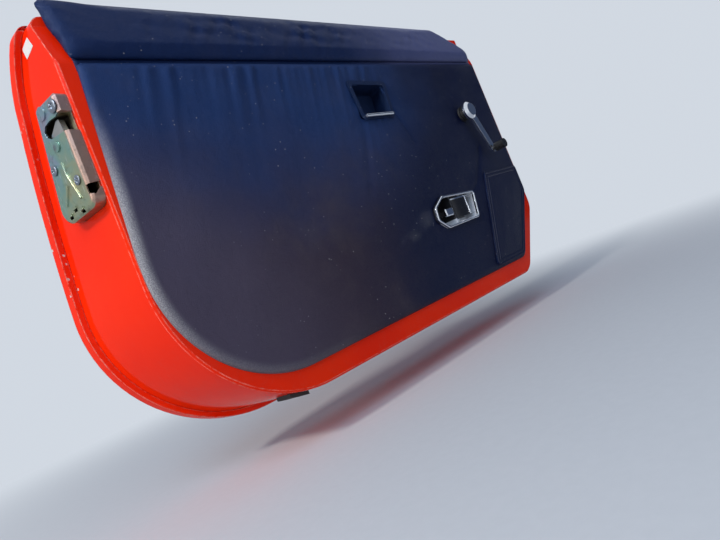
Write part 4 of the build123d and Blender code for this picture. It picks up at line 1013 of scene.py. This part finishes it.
# %% [markdown]
# ## Yellow-passivated zinc
# Zinc plate that has been dipped in chromate shows thin-film colours, which run from
# yellow through green and blue to violet with the film's thickness. Thickness is made
# here as a slow gradient up the case plus noise, and a colour ramp turns it into
# colours. Grease and wear darken it in blotches, and a Bevel node rounds the pressed
# edges, so that they catch the light as rolled sheet does. The side wall facing the
# cabin gets a painted red reflection, the pocket a painted shade deep inside, and
# the claw's pivot a painted dimple shade.

# %% Zinc for the latch
# These three colours are a painted red reflection, painted shade in the pocket and painted shade at the
# pivot.
SIDE_WALL_RED_REFLECTION, POCKET_SHADE, PIVOT_SHADE = (0.42, 0.22, 0.18), (0.030, 0.020, 0.018), (0.10, 0.085, 0.11)
GRIME, BARE_ZINC = (0.035, 0.028, 0.022), (0.62, 0.62, 0.60)
CASE_TALL, CASE_DEEP = 134 * MM, 80 * MM
CLAW_UP, CLAW_OUT = 81 * MM, 32 * MM  # the claw's pivot, up the case and out
# Stops of the ramp from thin film to thick: place and colour
FILM_COLOURS = [(0.0, (0.34, 0.23, 0.11)), (0.2, (0.37, 0.32, 0.18)), (0.38, (0.28, 0.33, 0.22)),
                (0.55, (0.19, 0.32, 0.27)), (0.7, (0.21, 0.30, 0.36)), (0.85, (0.29, 0.24, 0.33)),
                (1.0, (0.35, 0.25, 0.21))]


def zinc_finish(name, thick_low, thick_high, dirt, bare, in_shade=0.0):
    """Iridescent chromate over zinc: film thickness picks the colour from a ramp."""
    zinc = Finish(name, IOR=1.6)
    up, out = zinc.z - BOTTOM - LATCH_FOOT, zinc.y - INNER
    slow = zinc.noise(26, 3, 0.5, 1.2)
    film = thick_low + (thick_high - thick_low) * (up / CASE_TALL)
    film = film + 0.22 * (out / CASE_DEEP) + 0.75 * (slow - 0.5)
    colour = zinc.ramp(film, FILM_COLOURS)
    # Painted reflection of the red paint on the side wall, with less metal there.
    side_wall = 1 - zinc.fade(zinc.y, INNER + 3.6 * MM, INNER + 6.5 * MM)
    colour = zinc.mix(side_wall * 0.75, colour, SIDE_WALL_RED_REFLECTION)
    # Painted shade deep in the pocket.
    shade = zinc.fade(zinc.y, INNER + 7 * MM, INNER + 13 * MM) * in_shade
    colour = zinc.mix(shade, colour, POCKET_SHADE)
    # Painted shade in the dimple round the claw's pivot.
    pivot = ((up - CLAW_UP) ** 2.0 + (out - CLAW_OUT) ** 2.0) ** 0.5
    colour = zinc.mix((1 - zinc.fade(pivot, 2 * MM, 6 * MM)) * 0.6, colour, PIVOT_SHADE)
    grime = zinc.fade(zinc.noise(90, 6, 0.7), 0.50, 0.72)
    colour = zinc.mix(grime * dirt, colour, GRIME)
    scuffs = zinc.fade(zinc.noise(34, 5, 0.7, place=zinc.stretched(1, 9, 1)), 0.60, 0.68) * bare
    colour = zinc.mix(scuffs, colour, BARE_ZINC)
    rough = 0.27 + 0.16 * zinc.noise(55, 3) + 0.35 * grime * dirt
    normal = zinc.bump(zinc.noise(420, 4, 0.6), 0.00007, zinc.rounded(0.9 * MM))
    metal = 0.92 - 0.5 * grime * dirt - 0.4 * side_wall
    return zinc.feed(Base_Color=colour, Roughness=rough, Metallic=metal, Normal=normal)


case_zinc = zinc_finish("iridescent_case_zinc", 0.28, 0.62, dirt=0.55, bare=0.5)
pocket_zinc = zinc_finish("dark_pocket_zinc", 0.05, 0.25, dirt=0.8, bare=0.0, in_shade=0.93)
print(case_zinc.name, pocket_zinc.name)

# %% [markdown]
# ## Steel, galvanised steel and chrome
# Working steel is drawn or machined: fine lines along one axis, and a little rust in
# the pits. Hot-dipped zinc shows spangles, which are large crystals, each of its own
# grey. Chrome plate is nearly a mirror, but on an old car it has wiping haze, and
# pinholes where rust comes through.

# %% Bare metals
RUST, PINHOLE_RUST, STAIN = (0.16, 0.065, 0.030), (0.20, 0.12, 0.08), (0.20, 0.17, 0.14)
SPANGLE_DARK, SPANGLE_LIGHT = (0.36, 0.37, 0.38), (0.56, 0.57, 0.58)


def steel_finish(name, colour_light, colour_dark, rust_share, lines):
    """Brushed steel: stretched noise for the lines, and rust where noise peaks."""
    steel = Finish(name, IOR=2.5)
    brushed = steel.noise(60, 4, 0.6, place=steel.stretched(*lines))
    colour = steel.mix(brushed, colour_dark, colour_light)
    rust = steel.fade(steel.noise(140, 6, 0.7), 0.56, 0.70) * rust_share
    colour = steel.mix(rust, colour, RUST)
    normal = steel.bump(brushed, 0.00004)
    return steel.feed(Base_Color=colour, Metallic=0.95 - 0.8 * rust,
                      Roughness=0.24 + 0.20 * brushed + 0.4 * rust, Normal=normal)


def spangled_finish(name):
    """Galvanised sheet: Voronoi cells as crystals, each with its own grey and gloss."""
    galvanised = Finish(name, IOR=2.0)
    crystal = galvanised.add("SeparateXYZ", sockets={0: galvanised.cells(160, "F1", "Color")})
    colour = galvanised.mix(crystal, SPANGLE_DARK, SPANGLE_LIGHT)
    stain = galvanised.fade(galvanised.noise(40, 6, 0.7), 0.55, 0.75)
    colour = galvanised.mix(stain * 0.6, colour, STAIN)
    normal = galvanised.bump(galvanised.noise(500, 3), 0.00004)
    return galvanised.feed(Base_Color=colour, Metallic=0.9 - 0.5 * stain,
                           Roughness=0.30 + 0.2 * crystal + 0.25 * stain, Normal=normal)


def chrome_finish(name, colour, haze):
    """Chrome: a mirror with wiping haze and seldom pinholes of rust."""
    plate = Finish(name, IOR=2.8)
    wiped = plate.noise(30, 5, 0.65, place=plate.stretched(1, 1, 4))
    pinhole = plate.dots(260, 0.05, 0.10) * plate.fade(plate.noise(50, 2), 0.58, 0.64)
    tint = plate.mix(pinhole, colour, PINHOLE_RUST)
    normal = plate.bump(wiped, 0.00003, plate.rounded(0.6 * MM))
    return plate.feed(Base_Color=tint, Metallic=1 - 0.7 * pinhole,
                      Roughness=0.04 + haze * wiped + 0.4 * pinhole, Normal=normal)


claw_steel = steel_finish("ground_claw_steel", (0.42, 0.41, 0.40), (0.26, 0.25, 0.24), 0.3,
                          lines=(1, 1, 12))
run_steel = steel_finish("drawn_channel_steel", (0.36, 0.37, 0.38), (0.22, 0.22, 0.22), 0.5,
                         lines=(1, 1, 0.08))
bolt_steel = steel_finish("plated_bolt_steel", (0.22, 0.25, 0.30), (0.14, 0.16, 0.19), 0.3,
                          lines=(1, 1, 1))
galvanised_steel = spangled_finish("spangled_zinc")
bright_chrome = chrome_finish("bright_chrome", (0.80, 0.82, 0.86), haze=0.10)
worn_chrome = chrome_finish("worn_chrome", (0.62, 0.65, 0.70), haze=0.22)
print(claw_steel.name, run_steel.name, bolt_steel.name, galvanised_steel.name, bright_chrome.name)

# %% [markdown]
# ## The inner handle's paddle and pan
# The paddle is a chromed plate with a black-filled field, so its finish changes across
# it: a mask from Object coordinates is 1 in the field and 0 on its bright border. The
# pan is black inside, with a plated wall at its front end and a plated tray below,
# whose plating is mostly a pale diffuse colour: a painted highlight.

# %% Paddle and pan
PLATING, LACQUER, WORN_LACQUER = (0.84, 0.87, 0.92), (0.012, 0.012, 0.015), (0.20, 0.20, 0.21)
LACQUER_BLUR = 0.8 * MM               # how softly the black ends


def between(finish, value, low, high):
    """1 from low to high, fading over a blur outside them."""
    above = finish.fade(value, low - LACQUER_BLUR, low)
    return above * (1 - finish.fade(value, high, high + LACQUER_BLUR))


def field(node, behind, ahead, below, above):
    """A node's box in x and z, each side moved by millimetres towards + or -."""
    low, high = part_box(node)
    return (low.x + behind * MM, high.x + ahead * MM), (low.z + below * MM, high.z + above * MM)


def two_tone_finish(name, sides, dark_rough, shine):
    """Black lacquer inside a rectangle and chrome outside, or with less shine a pale, mostly diffuse
    painted highlight outside.

    The lacquer is rougher than the plating by dark_rough.
    """
    tone = Finish(name, IOR=1.6)
    dark = between(tone, tone.x, *sides[0]) * between(tone, tone.z, *sides[1])
    wiped = tone.noise(40, 5, 0.65)
    colour = tone.mix(dark, PLATING, LACQUER)
    worn = tone.fade(tone.noise(180, 5, 0.7), 0.60, 0.70) * dark * 0.3
    colour = tone.mix(worn, colour, WORN_LACQUER)
    rough = 0.05 + 0.12 * wiped + dark_rough * dark
    return tone.feed(Base_Color=colour, Roughness=rough, Metallic=shine - 0.85 * shine * dark,
                     Normal=tone.bump(wiped, 0.00003))


paddle_field = field("handle_lever", -5, -4, -5, -3)
pan_field = field("handle_recess", -5, -14, 13, 5)
paddle_finish = two_tone_finish("black_and_chrome_paddle", paddle_field,
                                dark_rough=0.06, shine=1.0)
# The pan's pale plating, mostly diffuse at this low shine, is a painted highlight.
pan_finish = two_tone_finish("black_and_painted_highlight_pan", pan_field, dark_rough=0.35, shine=0.35)
print(paddle_finish.name, pan_finish.name)

# %% [markdown]
# ## Plastic, rubber, glass, paper and thread
# Moulded plastic has a fine spark-eroded texture and shines where fingers polish it.
# Rubber is matt and greys with age. Glass is clear with a green tint and wiper
# streaks. Paper shows fibres, and thread is twisted, which a slanted wave shows.

# %% Soft and clear finishes
BLOOM, MOULD_DUST = (0.09, 0.088, 0.085), (0.3, 0.29, 0.28)
BLOOM_SHARE = 0.3                     # how strongly bloom and dust show
CLEAR_GREEN, DUSTY_GLASS = (0.80, 0.93, 0.88), (0.70, 0.74, 0.70)
PAPER_GREY, PAPER_WHITE, PAPER_DIRT = (0.60, 0.59, 0.56), (0.70, 0.70, 0.68), (0.55, 0.48, 0.40)


def moulded_finish(name, colour, rough, polish):
    """Moulded plastic or rubber: speckled texture, grey bloom, polish in patches."""
    mould = Finish(name, IOR=1.46)
    texture = mould.noise(1500, 3)
    bloom = mould.fade(mould.noise(35, 5, 0.65), 0.48, 0.75)
    tint = mould.mix(bloom * BLOOM_SHARE, colour, BLOOM)
    tint = mould.mix(mould.dots(240, 0.03, 0.06) * BLOOM_SHARE, tint, MOULD_DUST)
    rubbed = rough - polish * mould.fade(mould.noise(18, 2), 0.4, 0.7) + 0.15 * bloom
    return mould.feed(Base_Color=tint, Roughness=rubbed, Normal=mould.bump(texture, 0.00008))


def glass_finish(name):
    """Clear safety glass: transmission, a green tint, and streaks in the roughness."""
    glass = Finish(name, IOR=1.5, Transmission_Weight=1.0)
    streaks = glass.noise(22, 5, 0.6, place=glass.stretched(5, 1, 0.5))
    dusty = glass.fade(streaks, 0.55, 0.8)
    tint = glass.mix(dusty, CLEAR_GREEN, DUSTY_GLASS)
    return glass.feed(Base_Color=tint, Roughness=0.01 + 0.18 * dusty,
                      Normal=glass.bump(streaks, 0.00001))


def paper_finish(name):
    """White paper: fibres as stretched noise, slightly yellow and dirty at places."""
    paper = Finish(name, IOR=1.4)
    fibres = paper.noise(900, 4, 0.7, place=paper.stretched(1, 1, 3))
    dirt = paper.fade(paper.noise(160, 4), 0.55, 0.75)
    tint = paper.mix(fibres, PAPER_GREY, PAPER_WHITE)
    tint = paper.mix(dirt * 0.35, tint, PAPER_DIRT)
    return paper.feed(Base_Color=tint, Roughness=0.62 + 0.2 * fibres,
                      Normal=paper.bump(fibres, 0.00005))


def thread_finish(name, colour):
    """Twisted thread: a slanted wave paints shade between strands and tilts the surface there."""
    thread = Finish(name, IOR=1.45)
    slanted = thread.add("Mapping", sockets={"Vector": thread.place, "Rotation": (0.0, 0.7, 0.0)})
    twist = thread.add("TexWave", sockets={"Vector": slanted, "Scale": 420.0, "Distortion": 1.5})
    # Painted shade between the strands.
    tint = thread.mix(twist, tuple(0.45 * c for c in colour), colour)
    return thread.feed(Base_Color=tint, Roughness=0.55 + 0.25 * twist,
                       Normal=thread.bump(twist, 0.0001))


black_plastic = moulded_finish("black_moulded_plastic", (0.014, 0.014, 0.015),
                               rough=0.42, polish=0.2)
old_rubber = moulded_finish("old_black_rubber", (0.022, 0.022, 0.022), rough=0.75, polish=0.05)
clear_glass = glass_finish("green_tinted_glass")
label_paper = paper_finish("blank_label_paper")
black_thread = thread_finish("faded_black_thread", (0.20, 0.20, 0.25))
print(black_plastic.name, old_rubber.name, clear_glass.name, label_paper.name, black_thread.name)

# %% [markdown]
# ## Dressing every piece
# Each CAD node keeps its solid and gets its finish by name from one short table; the
# replaced soft nodes get theirs too, so that nothing is left plain.

# %% Who wears what
wardrobe = {
    paint: ["outer_skin", "inner_shell", "lower_door_leaf", "upper_door_leaf", "lower_post_leaf",
            "upper_post_leaf"],
    card_vinyl: ["door_card", "front_patch", card_cover, patch_cover],
    roll_vinyl: ["top_roll", roll_cover, roll_tail],
    case_zinc: ["latch_case"],
    pocket_zinc: ["latch_pocket"],
    claw_steel: ["latch_claw", "lower_hinge_pin", "upper_hinge_pin"],
    run_steel: ["rear_run", "front_run"],
    galvanised_steel: ["check_strap", "check_bracket", "check_guide"],
    bright_chrome: ["handle_bezel", "lock_tab", "crank_arm", "outer_handle", "handle_button",
                    "lock_barrel"],
    worn_chrome: ["pull_lip"],
    paddle_finish: ["handle_lever"],
    pan_finish: ["handle_recess"],
    black_plastic: ["crank_boss", "crank_knob"],
    cup_vinyl: ["pull_cup"],
    old_rubber: ["edge_rubber", "inner_wiper", "outer_wiper"],
    clear_glass: ["window_glass"],
    label_paper: [label],
    black_thread: threads,
    bolt_steel: leaf_bolts + screws,
}
for material, wearers in wardrobe.items():
    for wearer in wearers:
        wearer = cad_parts[wearer] if isinstance(wearer, str) else wearer
        if not wearer.material_slots:
            wearer.data.materials.append(material)
        for material_slot in wearer.material_slots:
            material_slot.material = material
in_table = sum(wardrobe.values(), [])
plain = [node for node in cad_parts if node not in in_table]
print("dressed:", len(in_table), "left plain:", plain)

# %% [markdown]
# ## Floor, background and light
# The door stands on its post, so it hangs in the air over a plain pale floor, which
# keeps its shadow. A floor and a world of different brightness meet in a horizon.
# Here the floor fades, for camera and mirror rays, into the same plain colour that
# the world shows them, so no edge is left, and no light is added to the object.
# Chrome in an even pale room looks white, so mirror rays also meet two dark walls.

# %% Floor and backdrop
BACKDROP = (0.64, 0.69, 0.76)
DARK_SIDES = (0.85, -0.50, 0.20), (0.55, 0.83, 0.10)  # mirrors show dark walls these ways
DARK_STOPS = [(0.80, BACKDROP), (0.95, (0.05, 0.07, 0.12))]
FLOOR_DROP = 60 * MM                  # floor's depth under the door
FLOOR_HALF = 30                       # half its side, in metres
FADE_FROM, FADE_TO = 0.35, 1.7        # it fades into the background so far from the door
floor_mesh = bpy.data.meshes.new("floor")
signs = ((-1, -1), (1, -1), (1, 1), (-1, 1))
floor_corners = [(x * FLOOR_HALF, y * FLOOR_HALF, 0) for x, y in signs]
floor_mesh.from_pydata(floor_corners, [], [(0, 1, 2, 3)])
floor = bpy.data.objects.new("floor", floor_mesh)
floor.location = (0, 0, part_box("outer_skin")[0].z - FLOOR_DROP)
bpy.context.collection.objects.link(floor)

screed = Finish("pale_floor", Roughness=0.8)
speckle = screed.noise(90, 4, 0.6)
away = ((screed.x + 0.5) ** 2.0 + (screed.y + 0.1) ** 2.0) ** 0.5
seen = screed.add("LightPath", out="Is Camera Ray")
mirrored = screed.add("LightPath", out="Is Glossy Ray")
far = screed.fade(away, FADE_FROM, FADE_TO) * screed.math("MAXIMUM", seen, mirrored)
glow = screed.add("Emission", sockets={"Color": (*BACKDROP, 1), "Strength": 1.0})
screed.feed(Base_Color=screed.mix(speckle, (0.58, 0.60, 0.62), (0.63, 0.65, 0.67)))
matt = Wire(screed, screed.shader.outputs[0])
blend = screed.add("MixShader", sockets={0: far, 1: matt, 2: glow})
screed.tree.links.new(blend.socket, screed.tree.nodes["Material Output"].inputs["Surface"])
floor.data.materials.append(screed.material)

world = bpy.data.worlds.new("studio")
world.use_nodes = True
sky = Graph(world.node_tree)
world.node_tree.nodes.remove(world.node_tree.nodes["Background"])
lit = sky.add("Background", sockets={"Color": (0.62, 0.74, 1.0, 1), "Strength": 0.27})
shown = sky.add("Background", sockets={"Color": (*BACKDROP, 1)})
heading = sky.add("TexCoord", out="Generated")
towards = [sky.add("VectorMath", {"operation": "DOT_PRODUCT"}, {0: heading, 1: side}, "Value")
           for side in DARK_SIDES]
walls = sky.add("ValToRGB", {"stops": DARK_STOPS}, {0: sky.math("MAXIMUM", *towards)})
mirrored_sky = sky.add("Background", sockets={"Color": walls})
by_camera, by_mirror, through_glass = (sky.add("LightPath", out=f"Is {ray} Ray")
                                       for ray in ("Camera", "Glossy", "Transmission"))
unseen = sky.add("MixShader", sockets={0: by_mirror, 1: lit, 2: mirrored_sky})
either = sky.math("MAXIMUM", by_camera, through_glass)
choice = sky.add("MixShader", sockets={0: either, 1: unseen, 2: shown})
sky.tree.links.new(choice.socket, sky.tree.nodes["World Output"].inputs["Surface"])
bpy.context.scene.world = world
print("floor at", round(floor.location.z, 3), "m")

# %% [markdown]
# The photograph's sun stands behind the door and a little inside, so it strikes the
# rear shut face and grazes the card, while the sky fills the cabin side. A small lamp
# stands in for the sun, and a narrow tall one adds light from lower down; the line of
# light on the rounded creases is a painted highlight in the enamel. A wide blue one is
# the sky, which comes from one side, so that folds show, and a low one is the light
# from the ground. Each is aimed at the door's middle.

# %% Lamps


def lamp(name, place, target, size, power, colour):
    """Area lamp of a width and height at a place, turned to face its target."""
    data = bpy.data.lights.new(name, "AREA")
    data.shape = "RECTANGLE"
    data.energy, data.color = power, colour
    data.size, data.size_y = size
    light = bpy.data.objects.new(name, data)
    light.location = place
    heading = (Vector(target) - Vector(place)).to_track_quat("-Z", "Y")
    light.rotation_mode = "QUATERNION"
    light.rotation_quaternion = heading
    bpy.context.collection.objects.link(light)
    return light


middle = (-0.55, -0.06, 0.08)
lamps = [
    lamp("sun_side", (-3.2, -0.40, 2.0), middle, (0.35, 0.35), 46, (1.0, 0.96, 0.90)),
    lamp("sun_glint", (-3.4, -0.60, 0.55), middle, (0.1, 0.8), 17, (1.0, 0.96, 0.90)),
    lamp("sky_behind", (-2.3, -1.5, 2.0), middle, (1.5, 1.5), 34, (0.66, 0.80, 1.0)),
    lamp("ground_front", (-0.6, -2.6, 0.1), middle, (1.6, 1.6), 6, (1.0, 0.95, 0.90)),
]
print([light.name for light in lamps])

# %% [markdown]
# ## Camera
# The camera was fitted to the photograph from the door's own parallel edges, so its
# axes are written as directions: its right, its up and its back. The photograph is
# taken low, close and tilted by about twenty degrees.

# %% Camera, sizes and the end
camera_data = bpy.data.cameras.new("camera")
camera = bpy.data.objects.new("camera", camera_data)
bpy.context.collection.objects.link(camera)
camera_data.lens, camera_data.sensor_width = 27.05, 36.0
axes = ((0.6798, -0.6301, -0.3753), (0.2587, -0.2728, 0.9266), (-0.6862, -0.7270, -0.0224))
turned_to = Matrix(axes).transposed().to_4x4()
camera.matrix_world = Matrix.Translation((-1.161, -0.6794, -0.066)) @ turned_to
bpy.context.scene.camera = camera
bpy.context.scene.view_settings.view_transform = "Standard"
